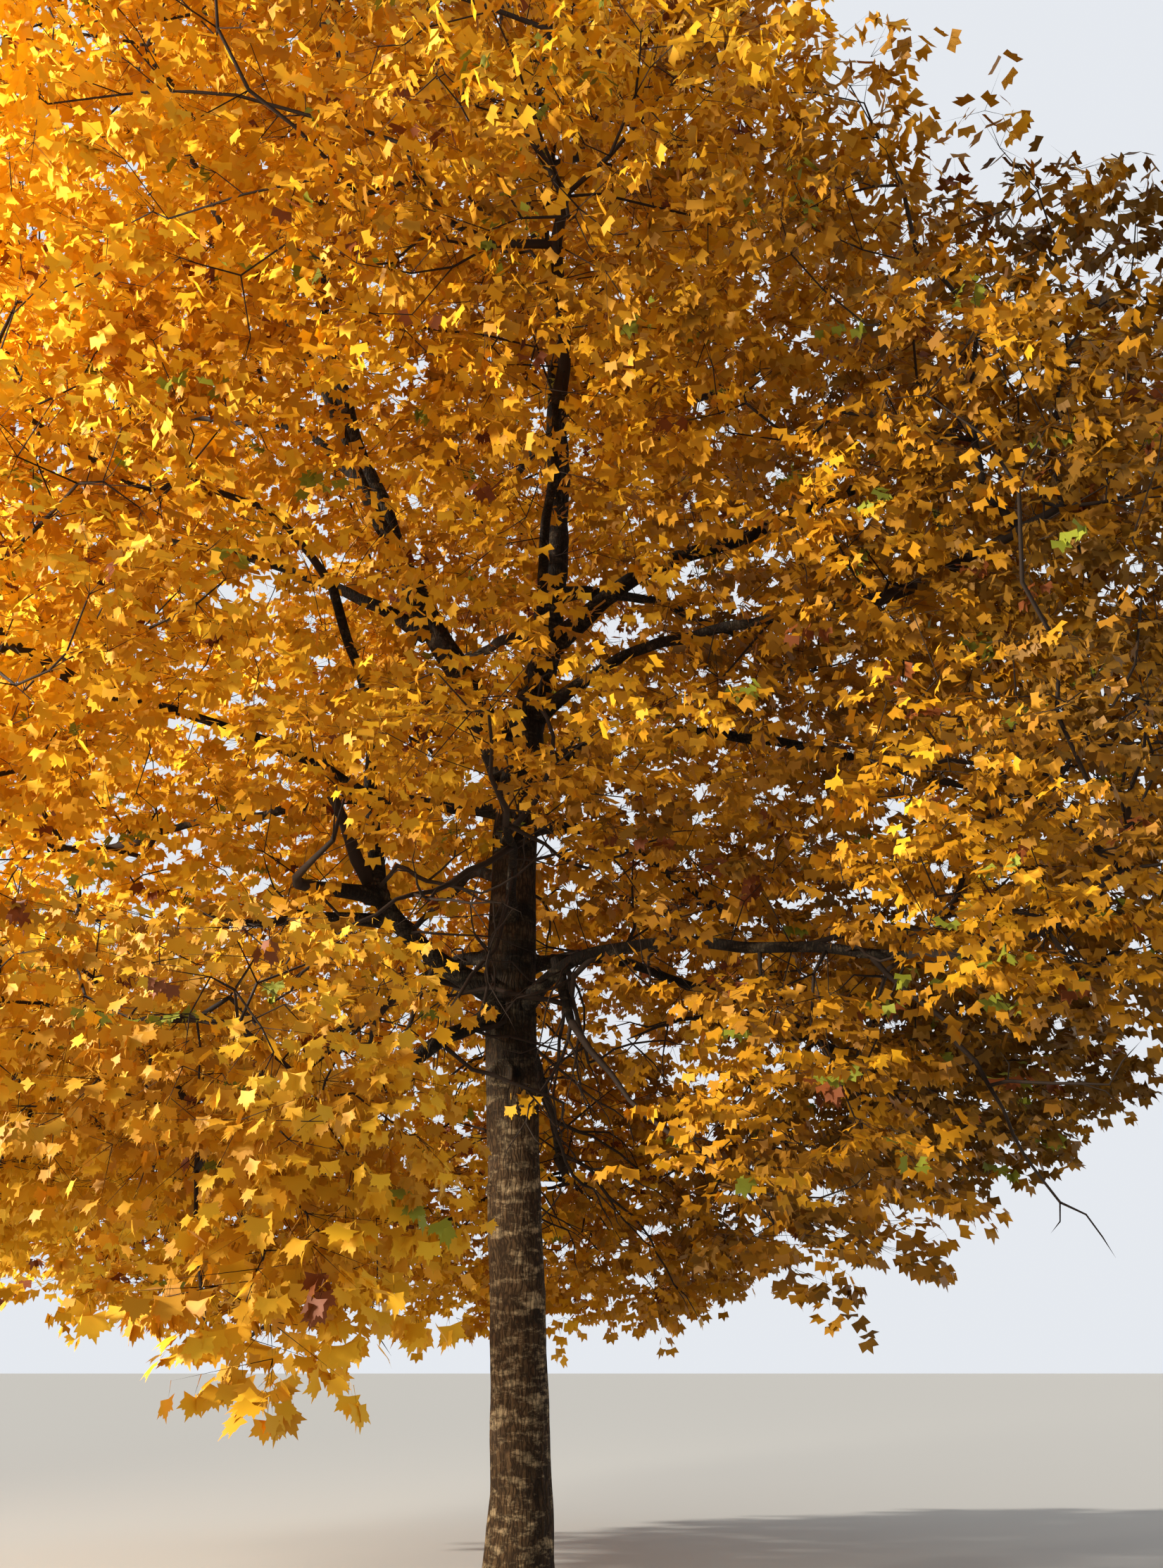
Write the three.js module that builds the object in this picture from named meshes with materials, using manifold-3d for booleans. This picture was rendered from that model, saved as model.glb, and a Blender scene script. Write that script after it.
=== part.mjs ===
// A broad, full-leaved maple in its own frame: millimetres, +Z up, the middle of the trunk's flat
// ground cut at the origin, -Y the side that faces the viewer and +X to the viewer's right.
// A leaning trunk forks at about six metres. Boughs leave the trunk, the stems above the fork or
// one another, and each ends just inside a closed mass of leaves or where its own boughs leave it.
import * as THREE from "three";
import { mergeVertices } from "three/addons/utils/BufferGeometryUtils.js";
import Module from "manifold-3d";

const wasm = await Module();
wasm.setup();

// Clearances, all in millimetres
const seatGap = 0.4; // left round a limb where it is seated in a mass or on its parent
const massGap = 0.5; // left between two masses that lean on each other

// Trunk: height above the ground, sideways lean and radius at each station up to the fork
const forkHeight = 6480;
const trunkStations = [
  { height: 0, lean: 0, radius: 224 },
  { height: 900, lean: 8, radius: 210 },
  { height: 1750, lean: -29, radius: 204 },
  { height: 3400, lean: -110, radius: 203 },
  { height: 4350, lean: -145, radius: 206 },
  { height: 5200, lean: -135, radius: 187 },
  { height: 6100, lean: -130, radius: 178 },
  { height: forkHeight, lean: -115, radius: 150 },
];
const flare = { reach: 105, fade: 210, roots: 5, rootDepth: 0.3, turn: 0.6 };
const trunkSides = 15;
const trunkRings = 10;
const ringSpread = 1.35; // above 1 the trunk's rings crowd towards the flare

const limbSides = 6;
const limbStep = 800; // length of limb between two rings
const limbRingsLeast = 4;
const limbEase = 0.38; // share of its chord over which a limb keeps the slope of an end
const limbTaper = 0.9; // 1 tapers evenly from the start to the tip
const collar = { swell: 0.35, length: 0.05 }; // the thickening where a limb leaves its parent
const seatDepth = 0.24; // how far past a mass's nominal edge its bough runs, as a share of the half-size

// Limbs that are placed by their own ends. from is the parent, at the share of the parent's length
// where it leaves, rise and arrive the slope in degrees at the start and the end.
const carriers = [
  { name: "bough_left_drop", from: "trunk", at: 0.644, to: [-1950, -3050, 2550],
    rise: -22, arrive: 4, hold: 0.3, radius: [60, 36] },
  { name: "bough_first_left", from: "trunk", at: 0.664, to: [-1190, -600, 4910],
    rise: -12, arrive: 56, radius: [86, 68] },
];

// Foliage and the bough that ends in each mass. bearing is the angle round the trunk in degrees:
// 0 right, 90 back, 180 left, 270 front. reach and height place the middle of the mass, size gives
// its half-lengths outward, around and upward, and droop lowers its outer rim.
const foliage = [
  // skirt
  { name: "front_hang", bearing: 262, reach: 5500, height: 2100, size: [640, 700, 920], droop: 0 },
  { name: "left_front_skirt", bearing: 237, reach: 4650, height: 2480, size: [1550, 2150, 800], droop: 0.1,
    bough: { name: "bough_left_reach", from: "bough_first_left", at: 0.97,
      rise: -4, arrive: -44, radius: [52, 34] } },
  { name: "left_skirt", bearing: 190, reach: 4700, height: 3350, size: [1550, 2400, 1800], droop: 0.14,
    bough: { from: "bough_first_left", at: 0.82, rise: 14, arrive: -22, radius: [46, 28] } },
  { name: "left_back_skirt", bearing: 138, reach: 4700, height: 3400, size: [1550, 2500, 1800], droop: 0.14,
    bough: { from: "trunk", at: 0.7, rise: 24, arrive: -18, radius: [54, 30] } },
  { name: "back_skirt", bearing: 86, reach: 4550, height: 3300, size: [1550, 2500, 1800], droop: 0.14,
    bough: { from: "trunk", at: 0.6, rise: 28, arrive: -20, radius: [52, 30] } },
  { name: "right_back_skirt", bearing: 34, reach: 4350, height: 4250, size: [1500, 2400, 1500], droop: 0.05,
    bough: { from: "trunk", at: 0.69, rise: 22, arrive: -14, radius: [50, 28] } },
  { name: "right_hang", bearing: 311, reach: 2600, height: 2780, size: [850, 1000, 1140], droop: 0,
    bough: { name: "bough_right_drop", from: "bough_right_low", at: 0.17, to: [1230, -1450, 2950],
      rise: -84, arrive: -34, radius: [36, 22] } },
  { name: "right_front_skirt", bearing: 320, reach: 4350, height: 4400, size: [1350, 2100, 1300], droop: 0,
    bough: { name: "bough_right_low", from: "trunk", at: 0.62, to: [2530, -2150, 3920],
      rise: 54, arrive: -8, radius: [58, 32] } },
  // lower crown
  { name: "front_low", bearing: 269, reach: 2950, height: 4850, size: [1050, 1750, 520], droop: 0.2,
    bough: { from: "trunk", at: 0.74, rise: 24, arrive: -8, radius: [42, 26] } },
  { name: "left_front_low", bearing: 216, reach: 4700, height: 6050, size: [1600, 2350, 1850], droop: 0.1,
    bough: { from: "bough_left_riser", at: 0.17, rise: 34, arrive: 4, radius: [46, 28] } },
  { name: "left_low", bearing: 164, reach: 4850, height: 6150, size: [1550, 2450, 1850], droop: 0.1,
    bough: { from: "trunk", at: 0.9, rise: 20, arrive: -2, radius: [58, 32] } },
  { name: "back_low", bearing: 112, reach: 4800, height: 6150, size: [1550, 2450, 1850], droop: 0.1,
    bough: { from: "trunk", at: 0.8, rise: 30, arrive: 0, radius: [58, 32] } },
  { name: "right_back_low", bearing: 60, reach: 4700, height: 6300, size: [1550, 2400, 1850], droop: 0.1,
    bough: { from: "trunk", at: 0.87, rise: 32, arrive: -2, radius: [58, 32] } },
  { name: "right_low", bearing: 8, reach: 4800, height: 6450, size: [1450, 2350, 1800], droop: 0.1,
    bough: { name: "bough_right_mid", from: "trunk", at: 0.95, rise: 40, arrive: -12, radius: [60, 34] } },
  { name: "right_front_low", bearing: 318, reach: 4500, height: 6450, size: [1450, 2100, 1650], droop: 0.1,
    bough: { from: "leader", at: 0.05, rise: 24, arrive: -14, radius: [56, 32] } },
  // middle crown
  { name: "front_mid", bearing: 275, reach: 4050, height: 8050, size: [1500, 2050, 1500], droop: 0.12,
    bough: { from: "leader", at: 0.1, rise: 26, arrive: -6, radius: [52, 30] } },
  { name: "left_front_mid", bearing: 236, reach: 4550, height: 8900, size: [1600, 2350, 1850], droop: 0.1,
    bough: { name: "bough_left_riser", from: "bough_first_left", at: 0.985,
      rise: 86, arrive: 24, hold: 0.66, radius: [54, 30] } },
  { name: "left_mid", bearing: 184, reach: 4850, height: 8950, size: [1550, 2800, 1850], droop: 0.1,
    bough: { from: "stem_left", at: 0.2, rise: 34, arrive: 6, radius: [58, 32] } },
  { name: "back_mid", bearing: 114, reach: 4600, height: 9000, size: [1550, 2800, 1850], droop: 0.1,
    bough: { from: "leader", at: 0.15, rise: 34, arrive: 6, radius: [58, 32] } },
  { name: "right_back_mid", bearing: 44, reach: 4550, height: 9100, size: [1550, 2800, 1850], droop: 0.1,
    bough: { from: "leader", at: 0.2, rise: 36, arrive: 4, radius: [56, 32] } },
  { name: "right_shoulder", bearing: 336, reach: 4250, height: 8700, size: [1700, 2250, 1500], droop: 0.05,
    bough: { name: "stem_right", from: "leader", at: 0.13, rise: 50, arrive: 16, radius: [84, 44] } },
  // upper crown
  { name: "front_high", bearing: 272, reach: 3300, height: 10950, size: [1650, 2000, 1800], droop: 0.1,
    bough: { from: "leader", at: 0.3, rise: 32, arrive: 10, radius: [48, 28] } },
  { name: "left_front_high", bearing: 217, reach: 4250, height: 11750, size: [1650, 2450, 1900], droop: 0.08,
    bough: { name: "bough_upper_left", from: "stem_left", at: 0.3, rise: 44, arrive: 24, radius: [72, 38] } },
  { name: "left_back_high", bearing: 160, reach: 4250, height: 11750, size: [1650, 2450, 1900], droop: 0.08,
    bough: { from: "stem_left", at: 0.46, rise: 40, arrive: 14, radius: [52, 30] } },
  { name: "back_high", bearing: 104, reach: 4050, height: 11800, size: [1650, 2400, 1900], droop: 0.08,
    bough: { from: "leader", at: 0.38, rise: 44, arrive: 14, radius: [52, 30] } },
  { name: "right_high", bearing: 36, reach: 3050, height: 12000, size: [1600, 2450, 1850], droop: 0.05,
    bough: { from: "leader", at: 0.44, rise: 50, arrive: 26, radius: [46, 28] } },
  // top
  { name: "top_front", bearing: 264, reach: 2350, height: 14050, size: [1700, 2500, 1800], droop: 0.05 },
  { name: "top_left", bearing: 184, reach: 2850, height: 14450, size: [1650, 2250, 1850], droop: 0.05,
    bough: { name: "stem_left", from: "trunk", at: 0.95, rise: 62, arrive: 88, radius: [134, 46] } },
  { name: "top_back", bearing: 76, reach: 2400, height: 14500, size: [1750, 2600, 1850], droop: 0.05 },
  { name: "crown_top", bearing: 180, reach: 400, height: 16500, size: [2500, 2500, 1750], droop: 0,
    bough: { name: "leader", from: "trunk", at: 0.965,
      rise: 78, arrive: 97, radius: [142, 42], heading: 0 } },
];

const massDetail = 2; // subdivisions of the icosahedron that a mass starts as
const lobes = { count: 9, swell: 0.3, width: 0.5, body: 0.93, uneven: 0.12 };
const fullness = 2.5; // 2 makes a mass an ellipsoid, more fills out its corners
const underside = 0.86; // share of its height that a mass keeps below its middle

const leafMatte = { roughness: 0.8, metalness: 0 };
const barkMaterial = new THREE.MeshStandardMaterial({ color: 0x5a4a3a, roughness: 0.95, metalness: 0 });
const lemonLeaves = new THREE.MeshStandardMaterial({ color: 0xf2b824, ...leafMatte });
const goldLeaves = new THREE.MeshStandardMaterial({ color: 0xe09a1c, ...leafMatte });
const amberLeaves = new THREE.MeshStandardMaterial({ color: 0xc0741a, ...leafMatte });
const sideTint = 2000; // beyond this to the left the leaves are lemon, beyond it to the right amber

const degrees = Math.PI / 180;
const upAxis = new THREE.Vector3(0, 0, 1);
const weld = 1e-3; // corners nearer than this are one corner

// Repeatable numbers from 0 to 1
function makeRandom(seed) {
  let state = seed * 2654435761 + 97;
  return () => {
    state = (state + 0x6d2b79f5) | 0;
    let mixed = Math.imul(state ^ (state >>> 15), 1 | state);
    mixed = (mixed + Math.imul(mixed ^ (mixed >>> 7), 61 | mixed)) ^ mixed;
    return ((mixed ^ (mixed >>> 14)) >>> 0) / 4294967296;
  };
}

// A closed geometry as a solid that can be cut
function solidOf(geometry) {
  const bare = geometry.clone();
  bare.deleteAttribute("normal");
  bare.deleteAttribute("uv");
  const merged = mergeVertices(bare, weld);
  const index = merged.index.array;
  const kept = [];
  for (let i = 0; i < index.length; i += 3) {
    const [a, b, c] = [index[i], index[i + 1], index[i + 2]];
    if (a !== b && b !== c && a !== c) kept.push(a, b, c);
  }
  return new wasm.Manifold(
    new wasm.Mesh({
      numProp: 3,
      vertProperties: new Float32Array(merged.attributes.position.array),
      triVerts: new Uint32Array(kept),
    }),
  );
}

// The same, with its faces turned to point out
function outwardSolid(geometry) {
  const solid = solidOf(geometry);
  if (solid.volume() > 0) return solid;
  geometry.index.array.reverse();
  return solidOf(geometry);
}

function geometryOf(solid) {
  const mesh = solid.getMesh();
  const positions = new Float32Array(mesh.numVert * 3);
  for (let i = 0; i < mesh.numVert; i++) {
    positions.set(mesh.vertProperties.subarray(i * mesh.numProp, i * mesh.numProp + 3), i * 3);
  }
  const geometry = new THREE.BufferGeometry();
  geometry.setAttribute("position", new THREE.BufferAttribute(positions, 3));
  geometry.setIndex(new THREE.BufferAttribute(new Uint32Array(mesh.triVerts), 1));
  geometry.computeVertexNormals();
  return geometry;
}

function largestPiece(solid) {
  const pieces = solid.decompose();
  return pieces.reduce((best, piece) => (piece.volume() > best.volume() ? piece : best));
}

// A round body turned from a closed profile, then bent along a curve. radiusAt gives the radius for
// a share of the length, and extra swells the body all over.
function bentLimb(curve, radiusAt, rings, extra) {
  const profile = [new THREE.Vector2(0, 0)];
  for (let i = 0; i <= rings; i++) profile.push(new THREE.Vector2(1, i / rings));
  profile.push(new THREE.Vector2(0, 1));
  const geometry = new THREE.LatheGeometry(profile, limbSides);
  const frames = curve.computeFrenetFrames(rings, false);
  const position = geometry.attributes.position;
  const point = new THREE.Vector3();
  for (let i = 0; i < position.count; i++) {
    const share = Math.min(1, Math.max(0, position.getY(i)));
    const ring = Math.round(share * rings);
    const [across, out] = [position.getX(i), position.getZ(i)];
    const angle = Math.atan2(out, across);
    const radius = Math.hypot(across, out) < weld ? 0 : radiusAt(share) + extra;
    curve.getPointAt(share, point);
    point.addScaledVector(frames.normals[ring], radius * Math.cos(angle));
    point.addScaledVector(frames.binormals[ring], radius * Math.sin(angle));
    if (extra && (ring === 0 || ring === rings)) {
      point.addScaledVector(frames.tangents[ring], ring === 0 ? -extra : extra);
    }
    position.setXYZ(i, point.x, point.y, point.z);
  }
  return outwardSolid(geometry);
}

function trunkAxis() {
  return new THREE.CatmullRomCurve3(
    trunkStations.map(({ height, lean }) => new THREE.Vector3(lean, 0, height)),
  );
}

function trunkRadius(height, angle) {
  const above = Math.max(1, trunkStations.findIndex((station) => station.height >= height));
  const [low, high] = [trunkStations[above - 1], trunkStations[above]];
  const share = (height - low.height) / (high.height - low.height);
  const smooth = share * share * (3 - 2 * share);
  const plain = low.radius + (high.radius - low.radius) * smooth;
  const root = 1 + flare.rootDepth * Math.cos(flare.roots * angle + flare.turn);
  return plain + flare.reach * Math.exp(-height / flare.fade) * root;
}

// Level rings, so that the ground cut is flat
function trunkSolid(extra) {
  const axis = trunkAxis();
  const heights = Array.from(
    { length: trunkRings + 1 },
    (_, ring) => forkHeight * (ring / trunkRings) ** ringSpread,
  );
  const profile = [new THREE.Vector2(0, 0)];
  heights.forEach((height) => profile.push(new THREE.Vector2(1, height)));
  profile.push(new THREE.Vector2(0, forkHeight));
  const geometry = new THREE.LatheGeometry(profile, trunkSides);
  const position = geometry.attributes.position;
  for (let i = 0; i < position.count; i++) {
    const height = position.getY(i);
    const [across, out] = [position.getX(i), position.getZ(i)];
    const angle = Math.atan2(out, across);
    const radius = Math.hypot(across, out) < weld ? 0 : trunkRadius(height, angle) + extra;
    const middle = axis.getPoint(shareAtHeight(axis, height));
    const top = height > forkHeight - 1 ? extra : 0;
    position.setXYZ(i, middle.x + radius * Math.cos(angle), radius * Math.sin(angle), height + top);
  }
  return outwardSolid(geometry);
}

// Where a rising curve passes a height, found by halving the stretch that holds it
function shareAtHeight(curve, height) {
  let [low, high] = [0, 1];
  for (let i = 0; i < 30; i++) {
    const middle = (low + high) / 2;
    if (curve.getPoint(middle).z < height) low = middle;
    else high = middle;
  }
  return (low + high) / 2;
}

// A limb that leaves start at one slope and reaches end at another; hold is the share of the way
// over which it keeps to its first slope
function limbCurve(start, end, { rise, arrive, heading, hold = limbEase }) {
  const chord = end.clone().sub(start);
  const level = heading === undefined ? Math.atan2(chord.y, chord.x) : heading * degrees;
  const slope = (angle, way) =>
    new THREE.Vector3(Math.cos(angle) * Math.cos(way), Math.cos(angle) * Math.sin(way), Math.sin(angle));
  const leaving = start.clone().addScaledVector(slope(rise * degrees, level), chord.length() * hold);
  const arriving = end.clone().addScaledVector(slope(arrive * degrees, level), -chord.length() * limbEase);
  return new THREE.CubicBezierCurve3(start, leaving, arriving, end);
}

function limbRadius([base, tip]) {
  return (share) => {
    const taper = tip + (base - tip) * (1 - share) ** limbTaper;
    return taper * (1 + collar.swell * Math.exp(-share / collar.length));
  };
}

function massMiddle({ bearing, reach, height }) {
  return new THREE.Vector3(
    reach * Math.cos(bearing * degrees),
    reach * Math.sin(bearing * degrees),
    height,
  );
}

// How far a rounded body of half-length 1 each way reaches in the direction of a vector, as a share
// of the vector's length
function roundedReach({ x, y, z }) {
  return (Math.abs(x) ** fullness + Math.abs(y) ** fullness + Math.abs(z) ** fullness) ** (-1 / fullness);
}

// How far a mass reaches from its middle in a level or sloping direction, before its lobes
function massExtent({ bearing, size }, direction) {
  const local = direction.clone().applyAxisAngle(upAxis, -bearing * degrees);
  return roundedReach(local.divide(new THREE.Vector3(...size)));
}

// The planes that share the space between a mass and its neighbours: each has the direction towards
// the neighbour and its distance from the mass's middle
function sharingPlanes(mass) {
  const middle = massMiddle(mass);
  const planes = [];
  for (const other of foliage) {
    if (other === mass) continue;
    const offset = massMiddle(other).sub(middle);
    const distance = offset.length();
    const direction = offset.normalize();
    const [near, far] = [massExtent(mass, direction), massExtent(other, direction)];
    planes.push({ direction, distance: (distance * near) / (near + far) - massGap / 2 });
  }
  return planes;
}

// A rounded body with swellings in seeded directions, a flatter underside and a drooping outer rim,
// which stops flat where it meets a neighbour
function massSolid(mass, seed) {
  const random = makeRandom(seed);
  const directions = Array.from({ length: lobes.count }, () => {
    const height = random() * 1.7 - 0.7;
    const turn = random() * 2 * Math.PI;
    const level = Math.sqrt(Math.max(0, 1 - height * height));
    return new THREE.Vector3(level * Math.cos(turn), level * Math.sin(turn), height).normalize();
  });
  const geometry = new THREE.IcosahedronGeometry(1, massDetail);
  geometry.rotateZ(random() * Math.PI);
  const position = geometry.attributes.position;
  const [outward, around, upward] = mass.size;
  const middle = massMiddle(mass);
  const planes = sharingPlanes(mass);
  const unevenness = new Map();
  const point = new THREE.Vector3();
  for (let i = 0; i < position.count; i++) {
    point.fromBufferAttribute(position, i).normalize();
    const corner = point.toArray().map((value) => value.toFixed(3)).join();
    if (!unevenness.has(corner)) unevenness.set(corner, 1 + lobes.uneven * (random() - 0.5));
    const nearest = Math.min(...directions.map((lobe) => lobe.angleTo(point)));
    const lobe = lobes.body + lobes.swell * Math.exp(-((nearest / lobes.width) ** 2));
    const reach = lobe * unevenness.get(corner) * roundedReach(point);
    const lift = point.z < 0 ? underside : 1;
    const drop = point.x > 0 ? mass.droop * upward * point.x ** 2 : 0;
    point.set(outward * point.x * reach, around * point.y * reach, upward * point.z * reach * lift - drop);
    point.applyAxisAngle(upAxis, mass.bearing * degrees);
    for (const { direction, distance } of planes) {
      const along = point.dot(direction);
      if (along > distance) point.multiplyScalar(distance / along);
    }
    point.add(middle);
    position.setXYZ(i, point.x, point.y, point.z);
  }
  return solidOf(geometry);
}

// Where a bough ends: inside the near side of its mass
function seatIn(mass, start) {
  const middle = massMiddle(mass);
  const inward = start.clone().sub(middle).normalize();
  return middle.addScaledVector(inward, massExtent(mass, inward) * (1 - seatDepth));
}

// Limb plans by name, so that each can be made after its parent
const plans = new Map(carriers.map((carrier) => [carrier.name, carrier]));
for (const mass of foliage.filter(({ bough }) => bough)) {
  const name = mass.bough.name ?? "bough_" + mass.name;
  plans.set(name, { ...mass.bough, name, mass });
}

const trunk = { curve: trunkAxis(), solid: trunkSolid(0), swollen: trunkSolid(seatGap) };
const limbs = new Map([["trunk", trunk]]);

function makeLimb(name) {
  if (limbs.has(name)) return limbs.get(name);
  const plan = plans.get(name);
  const parent = makeLimb(plan.from);
  const start = parent.curve.getPointAt(plan.at);
  const end = plan.to ? new THREE.Vector3(...plan.to) : seatIn(plan.mass, start);
  const curve = limbCurve(start, end, plan);
  const rings = Math.max(limbRingsLeast, Math.round(curve.getLength() / limbStep));
  const radius = limbRadius(plan.radius);
  let solid = bentLimb(curve, radius, rings, 0);
  for (const other of limbs.values()) solid = solid.subtract(other.swollen);
  const made = {
    curve,
    solid: largestPiece(solid),
    swollen: bentLimb(curve, radius, rings, seatGap),
  };
  limbs.set(name, made);
  return made;
}

for (const name of plans.keys()) makeLimb(name);

foliage.forEach((mass, i) => {
  mass.solid = massSolid(mass, i + 1);
  for (const limb of limbs.values()) mass.solid = mass.solid.subtract(limb.swollen);
  mass.solid = largestPiece(mass.solid);
});

const tree = new THREE.Group();

function addNode(name, solid, material) {
  const mesh = new THREE.Mesh(geometryOf(solid), material);
  mesh.name = name;
  tree.add(mesh);
}

for (const [name, { solid }] of limbs) addNode(name, solid, barkMaterial);
for (const mass of foliage) {
  const { x } = massMiddle(mass);
  const sided = x < -sideTint ? lemonLeaves : amberLeaves;
  addNode("leaves_" + mass.name, mass.solid, Math.abs(x) > sideTint ? sided : goldLeaves);
}

export default tree;
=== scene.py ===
import math
import bpy
import bmesh
import numpy as np
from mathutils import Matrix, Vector, noise
from mathutils.bvhtree import BVHTree


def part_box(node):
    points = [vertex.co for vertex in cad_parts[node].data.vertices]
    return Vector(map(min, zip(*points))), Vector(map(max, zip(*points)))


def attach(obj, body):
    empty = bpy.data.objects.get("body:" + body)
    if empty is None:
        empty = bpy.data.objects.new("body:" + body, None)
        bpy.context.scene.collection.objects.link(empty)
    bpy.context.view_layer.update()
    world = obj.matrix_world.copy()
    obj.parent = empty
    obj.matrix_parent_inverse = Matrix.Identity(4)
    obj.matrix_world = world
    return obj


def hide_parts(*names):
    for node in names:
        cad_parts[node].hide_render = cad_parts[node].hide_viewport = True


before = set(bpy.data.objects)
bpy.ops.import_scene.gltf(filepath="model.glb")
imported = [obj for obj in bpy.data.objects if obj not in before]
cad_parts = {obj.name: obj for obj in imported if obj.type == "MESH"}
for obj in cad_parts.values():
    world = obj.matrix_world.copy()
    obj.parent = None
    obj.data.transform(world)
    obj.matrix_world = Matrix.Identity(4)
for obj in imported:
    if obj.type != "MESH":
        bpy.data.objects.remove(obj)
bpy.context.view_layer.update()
massNodes = sorted(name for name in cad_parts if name.startswith("leaves_"))
boughNodes = sorted(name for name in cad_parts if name.startswith("bough_"))
stemNodes = ["leader", "stem_left", "stem_right"]
print("frame loaded:", len(massNodes), "leaf masses,", len(boughNodes), "boughs")

# Camera: where the tree is seen from, worked out from the trunk's size and the horizon
viewpoint = {
    "imageHeight": 2227,  # pixels, the picture's long side
    "focalPixels": 1802,
    "sensor": 36,  # millimetres along that side
    "farthest": 500,  # metres
    "eye": (0.43, -10.0, 1.55),  # metres, a standing viewer
    "pitch": 24.5,  # degrees above level
}


def eyeDistance(place):
    return float(np.linalg.norm(np.asarray(place) - viewpoint["eye"]))


def unit(way):
    return way / max(1e-9, np.linalg.norm(way))


def addCamera():
    rotation = (math.radians(90 + viewpoint["pitch"]), 0, 0)
    bpy.ops.object.camera_add(location=viewpoint["eye"], rotation=rotation)
    camera = bpy.context.object
    camera.name = "viewerCamera"
    camera.data.sensor_width = viewpoint["sensor"]
    camera.data.lens = viewpoint["sensor"] * viewpoint["focalPixels"] / viewpoint["imageHeight"]
    camera.data.clip_end = viewpoint["farthest"]
    bpy.context.scene.camera = camera


def linear(hexColour):
    # By the sRGB curve, and opaque
    values = [int(hexColour[i:i + 2], 16) / 255 for i in (1, 3, 5)]
    return [v / 12.92 if v <= 0.04045 else ((v + 0.055) / 1.055) ** 2.4 for v in values] + [1.0]


def addNode(tree, kind, settings=None, links=None):
    # What a link names is a socket, or a node whose first output is meant
    node = tree.nodes.new("ShaderNode" + kind)
    for name, value in (settings or {}).items():
        if name in node.inputs:
            node.inputs[name].default_value = value
        else:
            setattr(node, name, value)
    for name, source in (links or {}).items():
        if isinstance(source, bpy.types.Node):
            source = source.outputs[0]
        tree.links.new(source, node.inputs[name])
    return node


def newMaterial(name, settings):
    material = bpy.data.materials.new(name)
    material.use_nodes = True
    shader = material.node_tree.nodes["Principled BSDF"]
    for socket, value in settings.items():
        shader.inputs[socket].default_value = value
    return material, material.node_tree, shader


def deselectAll():
    bpy.ops.object.select_all(action="DESELECT")


def readCorners(mesh, value):
    found = np.zeros(len(mesh.vertices) * 3, np.float32)
    mesh.vertices.foreach_get(value, found)
    return found.reshape(-1, 3)


def meshFromArrays(name, corners, faces, materialIndex=None):
    # corners is n by 3; faces is a list of arrays, one for each number of sides
    mesh = bpy.data.meshes.new(name)
    loops = np.concatenate([f.ravel() for f in faces])
    sides = np.concatenate([np.full(len(f), f.shape[1]) for f in faces])
    starts = np.concatenate([[0], np.cumsum(sides)[:-1]])
    mesh.vertices.add(len(corners))
    mesh.vertices.foreach_set("co", corners.astype(np.float32).ravel())
    mesh.loops.add(len(loops))
    mesh.loops.foreach_set("vertex_index", loops.astype(np.int32))
    mesh.polygons.add(len(sides))
    mesh.polygons.foreach_set("loop_start", starts.astype(np.int32))
    mesh.polygons.foreach_set("loop_total", sides.astype(np.int32))
    if materialIndex is not None:
        mesh.polygons.foreach_set("material_index", materialIndex.astype(np.int32))
    mesh.update(calc_edges=True)
    piece = bpy.data.objects.new(name, mesh)
    bpy.context.scene.collection.objects.link(piece)
    return piece


# The limbs' middle lines are read off the CAD solids, by walking along inside each of them
walk = {
    "step": 0.15,  # metres
    "mostSteps": 200,
    "rays": 8,
    "facetLoss": 1.05,  # the solid's flat facets lie inside the round limb by this
    "capFacing": 0.6,  # a face that faces the walk by more than this is the limb's end
    "skin": 1e-3,  # metres under a face, where the walk begins
    "merged": 1e-4,  # metres; corners nearer to each other than this are one
}


def mergedShape(node):
    shape = bmesh.new()
    shape.from_mesh(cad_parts[node].data)
    bmesh.ops.remove_doubles(shape, verts=shape.verts, dist=walk["merged"])
    return shape


def solidTree(node):
    shape = mergedShape(node)
    tree = BVHTree.FromBMesh(shape)
    shape.free()
    return tree


def centred(tree, point, direction):
    # Moves a point inside a tube to the tube's middle, and gives the radius there
    aside = direction.orthogonal().normalized()
    above = direction.cross(aside).normalized()
    drift, reach = Vector(), 0.0
    for k in range(walk["rays"]):
        turn = 2 * math.pi * k / walk["rays"]
        ray = aside * math.cos(turn) + above * math.sin(turn)
        distance = tree.ray_cast(point, ray)[3]
        if distance is None:
            return None, None
        drift += ray * distance
        reach += distance
    return point + drift * (2 / walk["rays"]), reach / walk["rays"] * walk["facetLoss"]


def walkOneWay(tree, point, direction):
    found = []
    while len(found) < walk["mostSteps"]:
        hit, normal, index, distance = tree.ray_cast(point, direction)
        if distance is None:
            break
        if distance < walk["step"] and abs(normal.dot(direction)) > walk["capFacing"]:
            found.append((point + direction * distance, None))
            break
        ahead = point + direction * walk["step"]
        middle, radius = centred(tree, ahead, direction)
        if middle is None or (middle - ahead).length > walk["step"] / 2:
            break
        direction = (middle - point).normalized()
        point = middle
        found.append((point, radius))
    return found


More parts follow.
